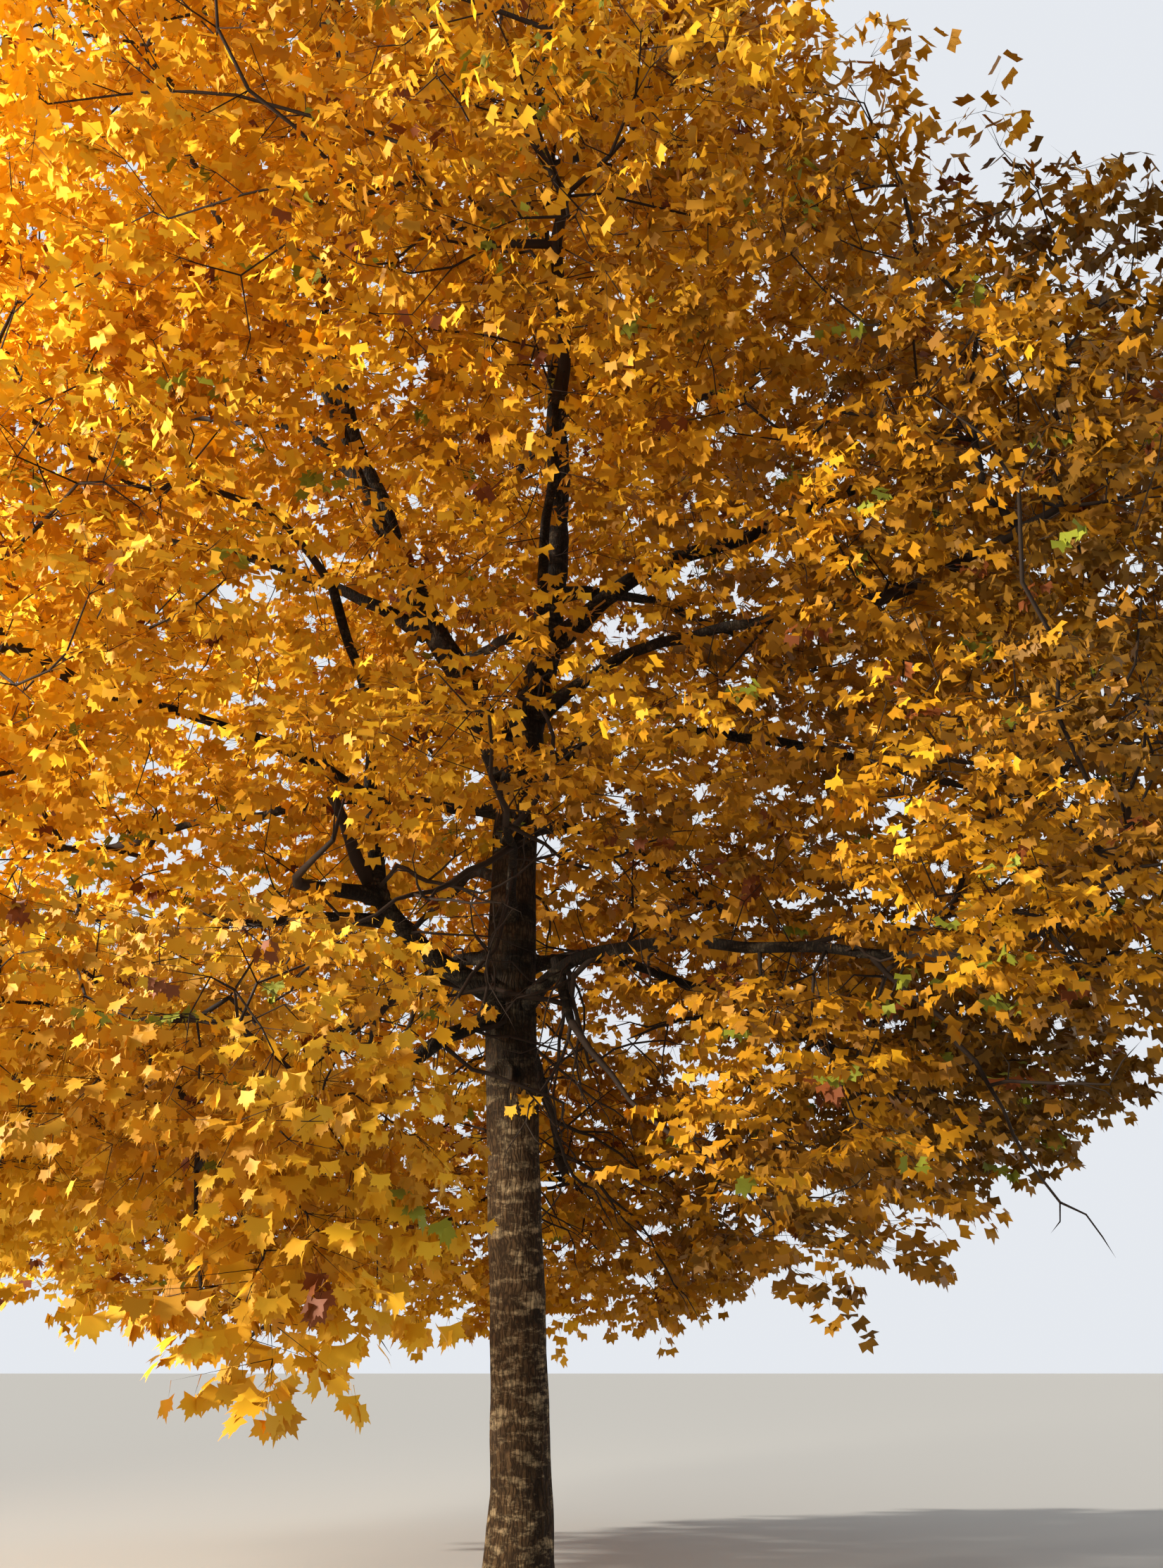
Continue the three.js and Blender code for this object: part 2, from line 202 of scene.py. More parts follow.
def limbLine(node):
    # Points and radii from the limb's thick end to its tip
    shape = mergedShape(node)
    tree = BVHTree.FromBMesh(shape)
    shape.faces.ensure_lookup_table()
    widest = max(shape.faces, key=lambda face: face.calc_area())
    longest = max(widest.edges, key=lambda edge: edge.calc_length())
    direction = (longest.verts[1].co - longest.verts[0].co).normalized()
    inside = widest.calc_center_median() - widest.normal * walk["skin"]
    depth = tree.ray_cast(inside, -widest.normal)[3]
    start, radius = centred(tree, inside - widest.normal * (depth / 2), direction)
    start, radius = centred(tree, start, direction)
    found = walkOneWay(tree, start, -direction)[::-1] + [(start, radius)]
    found += walkOneWay(tree, start, direction)
    shape.free()
    radii = [r for point, r in found]
    known = [r for r in radii if r is not None]
    radii[0] = radii[0] or known[0]
    radii[-1] = radii[-1] or known[-1]
    points = np.array([tuple(point) for point, r in found])
    radii = np.array(radii, float)
    if known[0] < known[-1]:
        points, radii = points[::-1], radii[::-1]
    return points, radii


def smoothed(values):
    # All but the first and last, each evened out with its two neighbours
    return (values[:-2] + 2 * values[1:-1] + values[2:]) / 4


def evenLine(points, radii, spacing, softness):
    # The same line at an even spacing, with the corners of the CAD's rings smoothed away
    along = np.concatenate([[0], np.cumsum(np.linalg.norm(np.diff(points, axis=0), axis=1))])
    count = max(4, int(round(along[-1] / spacing)))
    marks = np.linspace(0, along[-1], count + 1)
    line = np.stack([np.interp(marks, along, points[:, i]) for i in range(3)], axis=1)
    thick = np.interp(marks, along, radii)
    for _ in range(int(softness / spacing)):
        line[1:-1] = smoothed(line)
        thick[1:-1] = smoothed(thick)
    return line, thick


# Bark of the trunk: level rings laid on the CAD trunk, with the bark's own relief
trunkBark = {
    "sides": 176,
    "cuts": 15,  # the upright edges are cut by this twice, which gives 256 rings
    "ringCrowding": 1.15,  # above 1 the rings crowd towards the foot
    "endInset": 0.002,  # metres inside the CAD trunk's flat ends
    "ringsSmoothed": 6,  # passes that smooth the CAD's facets away, along and around
    "sidesSmoothed": 28,
    "footLength": 0.3,  # metres over which the middle line comes back to the origin
    "topRound": 0.35,  # metres over which the top rounds off between the stems
    "topLeast": 0.02,
    "plateWidth": 0.034,  # metres, one ridge of bark, coarser than life so that it shows
    "plateLength": 0.19,
    "plateDepth": 0.008,
    "plateMiddle": 0.6,  # the height of ridge that adds nothing to the radius
    "usualRadius": 0.21,
    "swellDepth": 0.012,
    "swellSize": 0.45,
    "collarHeights": (2.0, 2.36, 4.02),  # old branch collars that ring the trunk
    "collarWidth": 0.035,
    "collarDepth": 0.007,
    "collarUneven": (0.6, 0.5),  # the middle of its height, and how far that changes
    "collarStretch": (3, 4),  # around and up
    "scar": {"height": 3.57, "aside": -0.06, "front": -0.19,
             "halfWidth": 0.07, "halfHeight": 0.1, "lip": 0.028},
    "knot": {"height": 2.73, "aside": -0.15, "front": -0.15,
             "halfWidth": 0.045, "halfHeight": 0.05, "lip": 0.02},
    "lipWidth": 0.28,  # shares of a wound's size
    "hollowWidth": 0.75,
    "hollowDepth": 0.8,
}

# How high the two sizes of ridge stand, how wide their cracks are, and how each one's pattern is
# stretched, around and up, and shifted, so that no two are alike
barkNet = {
    "wander": 0.6,
    "wanderStretch": (0.35, 0.5),
    "fine": 0.75,
    "fineCrack": 0.1,
    "fineShift": 7.3,
    "coarse": 0.5,
    "coarseCrack": 0.15,
    "coarseStretch": (0.5, 0.45),
    "coarseShift": 3.1,
}


def barkRidges(around, up, out):
    # 0 in the cracks and about 1 on the ridges, in interlacing upright strips
    across, along = barkNet["wanderStretch"]
    wander = barkNet["wander"] * noise.noise(Vector((around * across, up * along, out)))
    fine = abs(noise.noise(Vector((around + wander, up, out + barkNet["fineShift"]))))
    across, along = barkNet["coarseStretch"]
    spot = Vector((around * across, up * along + barkNet["coarseShift"], out - wander))
    coarse = abs(noise.noise(spot))
    return (barkNet["fine"] * fine / (fine + barkNet["fineCrack"])
            + barkNet["coarse"] * coarse / (coarse + barkNet["coarseCrack"]))


def woundRelief(wound, across, height):
    # A ring of callus round a sunken middle, where a bough was once cut away
    ratio = math.hypot((across - wound["aside"]) / wound["halfWidth"],
                       (height - wound["height"]) / wound["halfHeight"])
    lip = math.exp(-((ratio - 1) / trunkBark["lipWidth"]) ** 2)
    hollow = math.exp(-((ratio / trunkBark["hollowWidth"]) ** 4))
    return wound["lip"] * (lip - trunkBark["hollowDepth"] * hollow)


def ringedCylinder(name, sides, cuts):
    # A cylinder one unit high, its upright edges cut twice into (cuts + 1) ** 2 lengths
    deselectAll()
    bpy.ops.mesh.primitive_cylinder_add(vertices=sides, radius=1, depth=1, location=(0, 0, 0))
    piece = bpy.context.object
    piece.name = name
    piece.data.name = name
    bpy.ops.object.mode_set(mode="EDIT")
    bpy.ops.mesh.select_mode(type="EDGE")
    for _ in range(2):
        bpy.ops.mesh.select_all(action="DESELECT")
        shape = bmesh.from_edit_mesh(piece.data)
        for edge in shape.edges:
            if abs(edge.verts[0].co.z - edge.verts[1].co.z) > 1e-4:
                edge.select_set(True)
        bmesh.update_edit_mesh(piece.data)
        bpy.ops.mesh.subdivide(number_cuts=cuts)
    bpy.ops.mesh.select_mode(type="VERT")
    bpy.ops.object.mode_set(mode="OBJECT")
    return piece


def trunkReach(heights, turns, middleX):
    # How far the CAD trunk's surface is from its middle line, smoothed over its facets
    tree = solidTree("trunk")
    inset = trunkBark["endInset"]
    reach = np.zeros((len(heights), len(turns)))
    for i, height in enumerate(heights):
        level = min(max(height, inset), heights[-1] - inset)
        for j, turn in enumerate(turns):
            ray = Vector((math.cos(turn), math.sin(turn), 0))
            reach[i, j] = tree.ray_cast(Vector((middleX[i], 0, level)), ray)[3]
    for _ in range(trunkBark["ringsSmoothed"]):
        reach[1:-1] = smoothed(reach)
    for _ in range(trunkBark["sidesSmoothed"]):
        reach = (np.roll(reach, 1, axis=1) + 2 * reach + np.roll(reach, -1, axis=1)) / 4
    return reach


def trunkRelief(x, y, height, radius):
    # What the bark adds to the trunk's radius in the direction (x, y)
    around = trunkBark["usualRadius"] / trunkBark["plateWidth"]
    ridge = barkRidges(x * around, height / trunkBark["plateLength"], y * around)
    swell = noise.noise(Vector((x, y, height / trunkBark["swellSize"])))
    collars = sum(math.exp(-((height - collar) / trunkBark["collarWidth"]) ** 2)
                  for collar in trunkBark["collarHeights"])
    middle, change = trunkBark["collarUneven"]
    across, along = trunkBark["collarStretch"]
    uneven = middle + change * noise.noise(Vector((x * across, y * across, height * along)))
    relief = trunkBark["plateDepth"] * (ridge - trunkBark["plateMiddle"])
    relief += trunkBark["swellDepth"] * swell
    relief += trunkBark["collarDepth"] * collars * uneven
    if y < 0:
        for wound in ("scar", "knot"):
            relief += woundRelief(trunkBark[wound], radius * x, height)
    return relief


def makeTrunkBark():
    sides, rings = trunkBark["sides"], (trunkBark["cuts"] + 1) ** 2
    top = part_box("trunk")[1].z
    points = limbLine("trunk")[0]
    order = np.argsort(points[:, 2])
    heights = top * np.linspace(0, 1, rings + 1) ** trunkBark["ringCrowding"]
    middleX = np.interp(heights, points[order, 2], points[order, 0])
    middleX -= middleX[0] * np.exp(-heights / trunkBark["footLength"])
    turns = np.linspace(0, 2 * math.pi, sides, endpoint=False)
    reach = trunkReach(heights, turns, middleX)
    places = np.zeros((rings + 1, sides, 3))
    for i, height in enumerate(heights):
        fromTop = (top - height) / trunkBark["topRound"]
        rounding = math.sqrt(max(trunkBark["topLeast"], 1 - (1 - min(1.0, fromTop)) ** 2))
        for j, turn in enumerate(turns):
            x, y = math.cos(turn), math.sin(turn)
            radius = (reach[i, j] + trunkRelief(x, y, height, reach[i, j])) * rounding
            places[i, j] = (middleX[i] + radius * x, radius * y, height)
    piece = ringedCylinder("trunkBark", sides, trunkBark["cuts"])
    corners = readCorners(piece.data, "co")
    ring = np.rint((corners[:, 2] + 0.5) * rings).astype(int)
    turned = np.arctan2(corners[:, 1], corners[:, 0]) / (2 * math.pi)
    side = np.rint(turned * sides).astype(int) % sides
    piece.data.vertices.foreach_set("co", places[ring, side].astype(np.float32).ravel())
    piece.data.update()
    return piece


# Bark of the stems and boughs: a bevelled curve along each limb, roughened
limbBark = {
    "spacing": 0.07,  # metres between the rings of a limb
    "softness": 2.5,
    "crooks": ((0.85, 0.07), (0.28, 0.018)),  # size and depth of a limb's crooks, in metres
    "crookSeed": 7,  # noise_vector would start from the clock without it
    "straightEnd": 0.45,  # metres at each end where the crooks die away
    "bevelSteps": 4,
    "ridgeDepth": 0.1,  # share of the radius
    "ridgeMiddle": 0.4,
    "ridgeSlant": 0.5,  # how they wind round the limb
    "plateWidth": 0.03,
    "plateLength": 0.13,
    "sunkBase": 0.12,  # how far a limb's foot runs on into its parent
    "collarSwell": 0.3,
    "collarLength": 0.14,
}


def limbMesh(name, line, thick):
    curve = bpy.data.curves.new(name, "CURVE")
    curve.dimensions = "3D"
    curve.bevel_depth = 1.0  # so that each point's radius is in metres
    curve.bevel_resolution = limbBark["bevelSteps"]
    curve.use_fill_caps = True
    spline = curve.splines.new("POLY")
    spline.points.add(len(line) - 1)
    for point, place, radius in zip(spline.points, line, thick):
        point.co = (*place, 1)
        point.radius = radius
    limb = bpy.data.objects.new(name, curve)
    bpy.context.scene.collection.objects.link(limb)
    deselectAll()
    limb.select_set(True)
    bpy.context.view_layer.objects.active = limb
    bpy.ops.object.convert(target="MESH")
    return limb


def roughen(limb, line, thick):
    mesh = limb.data
    corners, normals = readCorners(mesh, "co"), readCorners(mesh, "normal")
    for i, corner in enumerate(corners):
        nearest = np.argmin(((line - corner) ** 2).sum(axis=1))
        place = Vector(corner)
        along = nearest * limbBark["spacing"] / limbBark["plateLength"]
        out = (place - Vector(line[nearest])) / limbBark["plateWidth"]
        around = out.x + out.z * limbBark["ridgeSlant"]
        ridge = barkRidges(around, along, out.y) - limbBark["ridgeMiddle"]
        corners[i] += normals[i] * thick[nearest] * limbBark["ridgeDepth"] * ridge
    mesh.vertices.foreach_set("co", corners.ravel())
    mesh.update()


def makeLimbBark(name, nodes, lines):
    limbs = []
    for node in nodes:
        line, thick = lines[node]
        foot = line[0] - unit(line[1] - line[0]) * limbBark["sunkBase"]
        along = limbBark["spacing"] * np.arange(len(line))
        thick = thick * (1 + limbBark["collarSwell"] * np.exp(-along / limbBark["collarLength"]))
        line = np.vstack([foot, line])
        thick = np.concatenate([thick[:1], thick])
        limb = limbMesh(name + node, line, thick)
        roughen(limb, line, thick)
        limbs.append(limb)
    deselectAll()
    for limb in limbs:
        limb.select_set(True)
    bpy.context.view_layer.objects.active = limbs[0]
    bpy.ops.object.join()
    joined = bpy.context.object
    joined.name = name
    joined.data.name = name
    return joined


def crooked(line):
    # A limb's smooth line, bent as a grown one is
    bent = line.copy()
    last = len(line) - 1
    short = min(1.0, limbBark["spacing"] * last / 2)
    for i, place in enumerate(line):
        ease = min(1.0, min(i, last - i) * limbBark["spacing"] / limbBark["straightEnd"])
        for size, depth in limbBark["crooks"]:
            bent[i] += np.array(noise.noise_vector(Vector(place) / size)) * depth * short * ease
    return bent


# Growth: branches, then leafy sprays, join the nearest wood, less what their sap must travel
growth = {
    "seed": 61,
    "limbJoints": 0.28,  # metres between the joints of a limb that can carry twigs
    "branchSpacing": (1.15, 1.15, 1.0),  # metres between the places that a mass's branches make for
    "branchDepth": 0.15,
    "branchCost": 0.55,
    "limbSteps": 5,  # a limb runs on into its mass by this many steps
    "limbStep": 0.288,
    "limbTurn": 0.3,  # how fast it turns to the mass's middle
    "limbStray": 0.12,
    "step": 0.36,  # a branch bends at steps of this length
    "wander": 0.075,
    "arch": 0.06,
    "spraySpacing": (0.4, 0.4, 0.43),  # metres apart across, and between the level tiers
    "sprayCost": 0.3,
    "spacingFrom": (11, 0.84, 1.05),  # a mass nearer than this many metres has them closer together
    "fringe": (4.7, 0.88),  # and so have the masses below this height, which the sky shows through
    "jitter": (0.43, 0.43, 0.36),  # shares of the spacing
    "tierBend": 0.45,  # metres that a tier rises and falls
    "tierSize": 1.2,
    "rim": 0.2,  # sprays keep this share of their spacing inside a mass's edge
    "hangRoom": 0.16,  # metres more inside its underside, because their leaves hang
    "coreDepth": 0.9,  # deeper than this a mass is thinned
    "coreKeep": 0.38,
    "gapSize": 0.75,  # metres, the sky gaps between the sprays
    "gapLevel": 0.37,
    "gapFloor": 4.2,  # metres, the lower fringe has none
    "gapPerRight": 0.018,  # the tree is more open to the right, by this for each metre,
    "gapFrom": 6.5,  # above this height
    "reachIn": 0.25,  # wood this near a mass's solid can carry its sprays
    "jointRoom": 12,  # the most joints that one new place needs, as an average
    "twigRadius": 0.0023,
    "thicken": 0.5,  # a branch's section grows as the sprays that it feeds
    "tipTaper": 0.82,  # what is left of a limb's radius at each step beyond its tip
    "sides": ((0.02, 8), (0.009, 5), (0, 3)),  # of a branch that is thicker than this
}
innerGrowth = {
    "spacing": (0.55, 0.55, 0.5),
    "near": 0.28,
    "far": 1.3,
    "lowest": 3.9,
    "clearing": (1.3, 5.2),  # none within this distance of the trunk below this height
    "inFront": 0.65,  # nor before it, this far to each side
    "clear": 0.12,
    "keep": 0.85,
}
bareTwigs = {
    "highest": 5.6,
    "perMetre": 2.8,
    "steps": (4, 12),
    "step": 0.16,
    "flatness": (1, 1, 0.5),
    "drop": 0.25,
    "sag": 0.06,
    "bend": 0.26,
    "sideTwig": 0.34,  # chance of a side twig at each step
    "sideSpread": 0.6,
    "sideLeast": 3,  # a twig with no more steps than this has none
    "girth": 2.2,  # what each step adds to the load that sets a twig's radius
}
# The two masses nearest the viewer have smaller leaves, closer together
closeMasses = {
    "leaves_front_hang": {"spacing": (0.17, 0.17, 0.2), "hangRoom": 0.16},
    "leaves_left_front_skirt": {"spacing": (0.2, 0.2, 0.23), "hangRoom": 0.38},
}
# One long branch hangs in the sun before the rest, with large leaves whose tints are shifted
# lighter: painted sunlight
hangingBranch = {
    "mass": "leaves_front_hang",
    "middle": (-0.56, -5.3),
    "radius": 0.27,
    "top": 2.7,
    "lowest": 2.2,  # the sprays around it end at this height
    "keepAround": 0.5,
    "width": (0.08, 0.12),
    # lighter tints than its place gives: painted sunlight
    "warmth": -0.08,
}
sprig = {
    "foot": (-0.02, -0.18, 3.5),  # on the trunk, just below the scar
    "twigs": (((-0.05, -0.27, 3.46), (-0.1, -0.3, 3.4)), ((0.04, -0.27, 3.47), (0.1, -0.3, 3.42)),
              ((0.0, -0.28, 3.44), (0.01, -0.31, 3.36))),
    "leavesAtStep": 1,
    "spread": 0.8,
    "tilt": 72,
    "width": 0.13,
    "tint": "honeyLeaf",
    "home": "leaves_front_hang",
}


def insideDepth(tree, point):
    # How deep a point lies in a solid, below zero outside it
    place, normal, index, distance = tree.find_nearest(point)
    return distance if (point - place).dot(normal) < 0 else -distance


def jitteredGrid(low, high, spacing, rng):
    # Places in level tiers that rise and fall gently, each moved a little at random
    axes = [np.arange(low[i] + spacing[i] / 2, high[i], spacing[i]) for i in range(3)]
    grid = np.stack(np.meshgrid(*axes, indexing="ij"), axis=-1)
    grid[:, ::2, :, 0] += spacing[0] / 2
    grid = grid.reshape(-1, 3)
    grid += rng.uniform(-1, 1, grid.shape) * np.array(growth["jitter"]) * np.array(spacing)
    for place in grid:
        bend = noise.noise(Vector((place[0], place[1], low[2])) / growth["tierSize"])
        place[2] += growth["tierBend"] * bend
    return grid


def branchPlaces(node, trees, rng):
    grid = jitteredGrid(*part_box(node), growth["branchSpacing"], rng)
    return [place for place in grid
            if insideDepth(trees[node], Vector(place)) > growth["branchDepth"]]


def inHangingBranch(place):
    aside = math.hypot(place[0] - hangingBranch["middle"][0], place[1] - hangingBranch["middle"][1])
    return aside < hangingBranch["radius"] and place[2] < hangingBranch["top"]


def sprayPlaces(node, trees, rng):
    low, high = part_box(node)
    close = closeMasses.get(node, {})
    usual, least, most = growth["spacingFrom"]
    scale = min(most, max(least, eyeDistance((low + high) / 2) / usual))
    if (low.z + high.z) / 2 < growth["fringe"][0]:
        scale = min(scale, growth["fringe"][1])
    spacing = close.get("spacing", tuple(scale * gap for gap in growth["spraySpacing"]))
    hangRoom = close.get("hangRoom", growth["hangRoom"])
    rim = spacing[0] * growth["rim"]
    kept = []
    for place in jitteredGrid(low, high, spacing, rng):
        depth = insideDepth(trees[node], Vector(place))
        if depth < rim:
            continue
        if node == hangingBranch["mass"] and not inHangingBranch(place):
            if place[2] < hangingBranch["lowest"] or rng.random() > hangingBranch["keepAround"]:
                continue
        hanging = Vector((place[0], place[1], place[2] - hangRoom))
        if depth < 2 * hangRoom and insideDepth(trees[node], hanging) < 0:
            continue
        thinned = depth > growth["coreDepth"] and rng.random() > growth["coreKeep"]
        level = growth["gapLevel"]
        if place[2] > growth["gapFrom"]:
            level -= growth["gapPerRight"] * place[0]
        gap = noise.noise(Vector(place) / growth["gapSize"]) > level
        if not thinned and not (gap and place[2] > growth["gapFloor"]):
            kept.append(place)
    return kept


def innerPlaces(lines, trees, rng):
    # Sprays on the boughs inside the crown, between the masses
    ways = np.concatenate([line[len(line) // 4:] for node, (line, thick) in lines.items()])
    low, high = ways.min(axis=0), ways.max(axis=0)
    kept = []
    for place in jitteredGrid(low, high, innerGrowth["spacing"], rng):
        if place[2] < innerGrowth["lowest"] or rng.random() > innerGrowth["keep"]:
            continue
        near = math.hypot(place[0], place[1]) < innerGrowth["clearing"][0]
        inFront = abs(place[0]) < innerGrowth["inFront"] and place[1] < 0
        if (near or inFront) and place[2] < innerGrowth["clearing"][1]:
            continue
        distance = np.sqrt(((ways - place) ** 2).sum(axis=1).min())
        if not innerGrowth["near"] < distance < innerGrowth["far"]:
            continue
        depths = {node: insideDepth(tree, Vector(place)) for node, tree in trees.items()}
        home = max((node for node in depths if node not in closeMasses), key=depths.get)
        if max(depths.values()) < -innerGrowth["clear"]:
            kept.append((place, home))
    return kept


class Wood:
    # Every joint of the limbs and of the wood beyond them
    def __init__(self):
        self.places = []
        self.parents = []
        self.homes = []  # the mass that each belongs to
        self.leafy = []  # whether a leafy spray ends there
        self.loads = []  # what it adds to the girth of the wood below it
        self.sprigJoints = []

    def add(self, place, parent, home, leafy, load=None):
        self.places.append(np.asarray(place, float))
        self.parents.append(parent)
        self.homes.append(home)
        self.leafy.append(leafy)
        self.loads.append(float(leafy) if load is None else load)
        return len(self.places) - 1


class Carriers:
    # The joints that can carry more wood, and how far each lies from its limb
    def __init__(self, wood, joints, room):
        self.joints = list(joints)
        self.count = len(self.joints)
        self.spots = np.zeros((self.count + room, 3))
        self.travel = np.zeros(self.count + room)
        self.spots[:self.count] = [wood.places[i] for i in self.joints]

    def add(self, joint, place, travel):
        self.joints.append(joint)
        self.spots[self.count] = place
        self.travel[self.count] = travel
        self.count += 1

    def cheapest(self, place, cost):
        distance = np.linalg.norm(self.spots[:self.count] - place, axis=1)
        return int(np.argmin(distance + cost * self.travel[:self.count])), distance


def joinPlaces(places, wood, carriers, cost, home, leafy, rng):
    start = carriers.spots[:carriers.count].copy()
    order = np.argsort([((start - place) ** 2).sum(axis=1).min() for place in places])
    for place in (places[i] for i in order):
        best, distance = carriers.cheapest(place, cost)
        root, parent, way = carriers.spots[best].copy(), carriers.joints[best], distance[best]
        travel = carriers.travel[best]
        steps = max(1, round(way / growth["step"]))
        stray = rng.normal(0, growth["wander"], 3) + np.array([0, 0, growth["arch"] * way])
        for k in range(1, steps + 1):
            share = k / steps
            spot = root + (place - root) * share
            if k < steps:
                bow = stray * math.sin(math.pi * share)
                spot = spot + bow + rng.normal(0, growth["wander"] / 3, 3)
            parent = wood.add(spot, parent, home, leafy and k == steps)
            carriers.add(parent, spot, travel + way * share)


def growMass(node, wood, trees, rng):
    known = range(len(wood.places))
    near = [i for i in known
            if insideDepth(trees[node], Vector(wood.places[i])) > -growth["reachIn"]]
    branches = branchPlaces(node, trees, rng)
    sprays = sprayPlaces(node, trees, rng)
    if not near:
        middle = np.mean(sprays, axis=0)
        near = [min(known, key=lambda i: ((wood.places[i] - middle) ** 2).sum())]
    carriers = Carriers(wood, near, growth["jointRoom"] * (len(branches) + len(sprays)))
    if branches:
        joinPlaces(branches, wood, carriers, growth["branchCost"], node, False, rng)
    joinPlaces(sprays, wood, carriers, growth["sprayCost"], node, True, rng)


def growInside(lines, wood, limbJoints, trees, rng):
    found = innerPlaces(lines, trees, rng)
    carriers = Carriers(wood, limbJoints, growth["jointRoom"] * len(found))
    for place, home in sorted(found, key=lambda item: item[0][2]):
        joinPlaces([place], wood, carriers, growth["sprayCost"], home, True, rng)


def extendLimbs(wood, lines, tips, trees, rng):
    # Each limb runs on from its tip towards the middle of the mass that it enters, ever thinner
    leastRadii = {}
    for node, joint in tips.items():
        line, thick = lines[node]
        home = max(trees, key=lambda mass: insideDepth(trees[mass], Vector(line[-1])))
        low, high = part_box(home)
        way, radius = line[-1] - line[-3], thick[-1]
        for _ in range(growth["limbSteps"]):
            inward = unit(np.array((low + high) / 2) - wood.places[joint])
            way = unit(way) + growth["limbTurn"] * inward + rng.normal(0, growth["limbStray"], 3)
            way = unit(way)
            joint = wood.add(wood.places[joint] + way * growth["limbStep"], joint, home, False)
            radius *= growth["tipTaper"]
            leastRadii[joint] = radius
    return leastRadii


def growBareTwigs(wood, limbJoints, rng):
    # Thin leafless twigs hang and spread from the low boughs, in the opening under the crown
    for joint in limbJoints:
        if wood.places[joint][2] > bareTwigs["highest"]:
            continue
        if rng.random() > bareTwigs["perMetre"] * growth["limbJoints"]:
            continue
        way = rng.normal(0, 1, 3) * bareTwigs["flatness"] - (0, 0, bareTwigs["drop"])
        growTwig(wood, joint, way, rng.integers(*bareTwigs["steps"]), rng)


def growTwig(wood, joint, way, steps, rng):
    for _ in range(steps):
        way = unit(unit(way) + rng.normal(0, bareTwigs["bend"], 3) - (0, 0, bareTwigs["sag"]))
        place = wood.places[joint] + way * bareTwigs["step"]
        joint = wood.add(place, joint, "bare", False, bareTwigs["girth"])
        if steps > bareTwigs["sideLeast"] and rng.random() < bareTwigs["sideTwig"]:
            growTwig(wood, joint, way + rng.normal(0, bareTwigs["sideSpread"], 3), steps // 2, rng)


def growSprig(wood, foot):
    # A leafy shoot that has sprouted from the trunk
    for twig in sprig["twigs"]:
        joint = foot
        for place in twig:
            joint = wood.add(place, joint, "bare", False, 1)
            wood.sprigJoints.append(joint)


def woodRadii(wood, firstGrown, leastRadii):
    # A branch is as thick as what it feeds needs, and a limb's own run is never thinner than
    # its taper
    load = np.array(wood.loads, float)
    for i in range(len(load) - 1, firstGrown - 1, -1):
        if wood.parents[i] >= firstGrown:
            load[wood.parents[i]] += load[i]
    radii = growth["twigRadius"] * np.maximum(load, 1) ** growth["thicken"]
    for joint, radius in leastRadii.items():
        radii[joint] = max(radii[joint], radius)
    return radii


def runsOf(wood, radii, firstGrown):
    # Splits the wood into runs from a foot to a tip, each following its thickest child
    children = {}
    for i in range(firstGrown, len(wood.places)):
        children.setdefault(wood.parents[i], []).append(i)
    thickest = {parent: max(born, key=lambda i: radii[i]) for parent, born in children.items()}
    runs = []
    for i in range(firstGrown, len(wood.places)):
        parent = wood.parents[i]
        if parent >= firstGrown and thickest[parent] == i:
            continue
        run = [parent, i]
        while run[-1] in thickest:
            run.append(thickest[run[-1]])
        runs.append(run)
    return runs


class TubeMesh:
    # Gathers closed, bent, tapering tubes that end in a point
    slant = (0.31, 0.17, 0.93)  # hardly any tube runs along it, so it gives the first ring a side

    def __init__(self):
        self.corners = []
        self.faces = {3: [], 4: [], 5: [], 8: []}  # by their number of sides
        self.count = 0

    def add(self, places, radii, sides):
        ways = np.diff(places, axis=0)
        ways /= np.maximum(1e-9, np.linalg.norm(ways, axis=1))[:, None]
        tangents = np.vstack([ways[:1], ways[:-1] + ways[1:], ways[-1:]])
        aside = np.cross(tangents[0], self.slant)
        turns = np.linspace(0, 2 * math.pi, sides, endpoint=False)
        rings = []
        for place, tangent, radius in zip(places[:-1], tangents, radii):
            tangent = unit(tangent)
            aside = unit(aside - tangent * aside.dot(tangent))
            above = np.cross(tangent, aside)
            ring = np.cos(turns)[:, None] * aside + np.sin(turns)[:, None] * above
            rings.append(place + radius * ring)
        self.corners.extend(rings)
        self.corners.append(places[-1:])
        grid = self.count + np.arange(len(rings) * sides).reshape(len(rings), sides)
        right = np.roll(grid, -1, axis=1)
        quads = np.stack([grid[:-1], right[:-1], right[1:], grid[1:]], axis=-1).reshape(-1, 4)
        apex = np.full(sides, grid[-1, -1] + 1)
        self.faces[4].append(quads)
        self.faces[3].append(np.stack([grid[-1], right[-1], apex], axis=-1))
        self.faces[sides].append(grid[:1, ::-1])
        self.count = apex[0] + 1

    def piece(self, name):
        faces = [np.concatenate(found) for found in self.faces.values() if found]
        return meshFromArrays(name, np.concatenate(self.corners), [f for f in faces if len(f)])


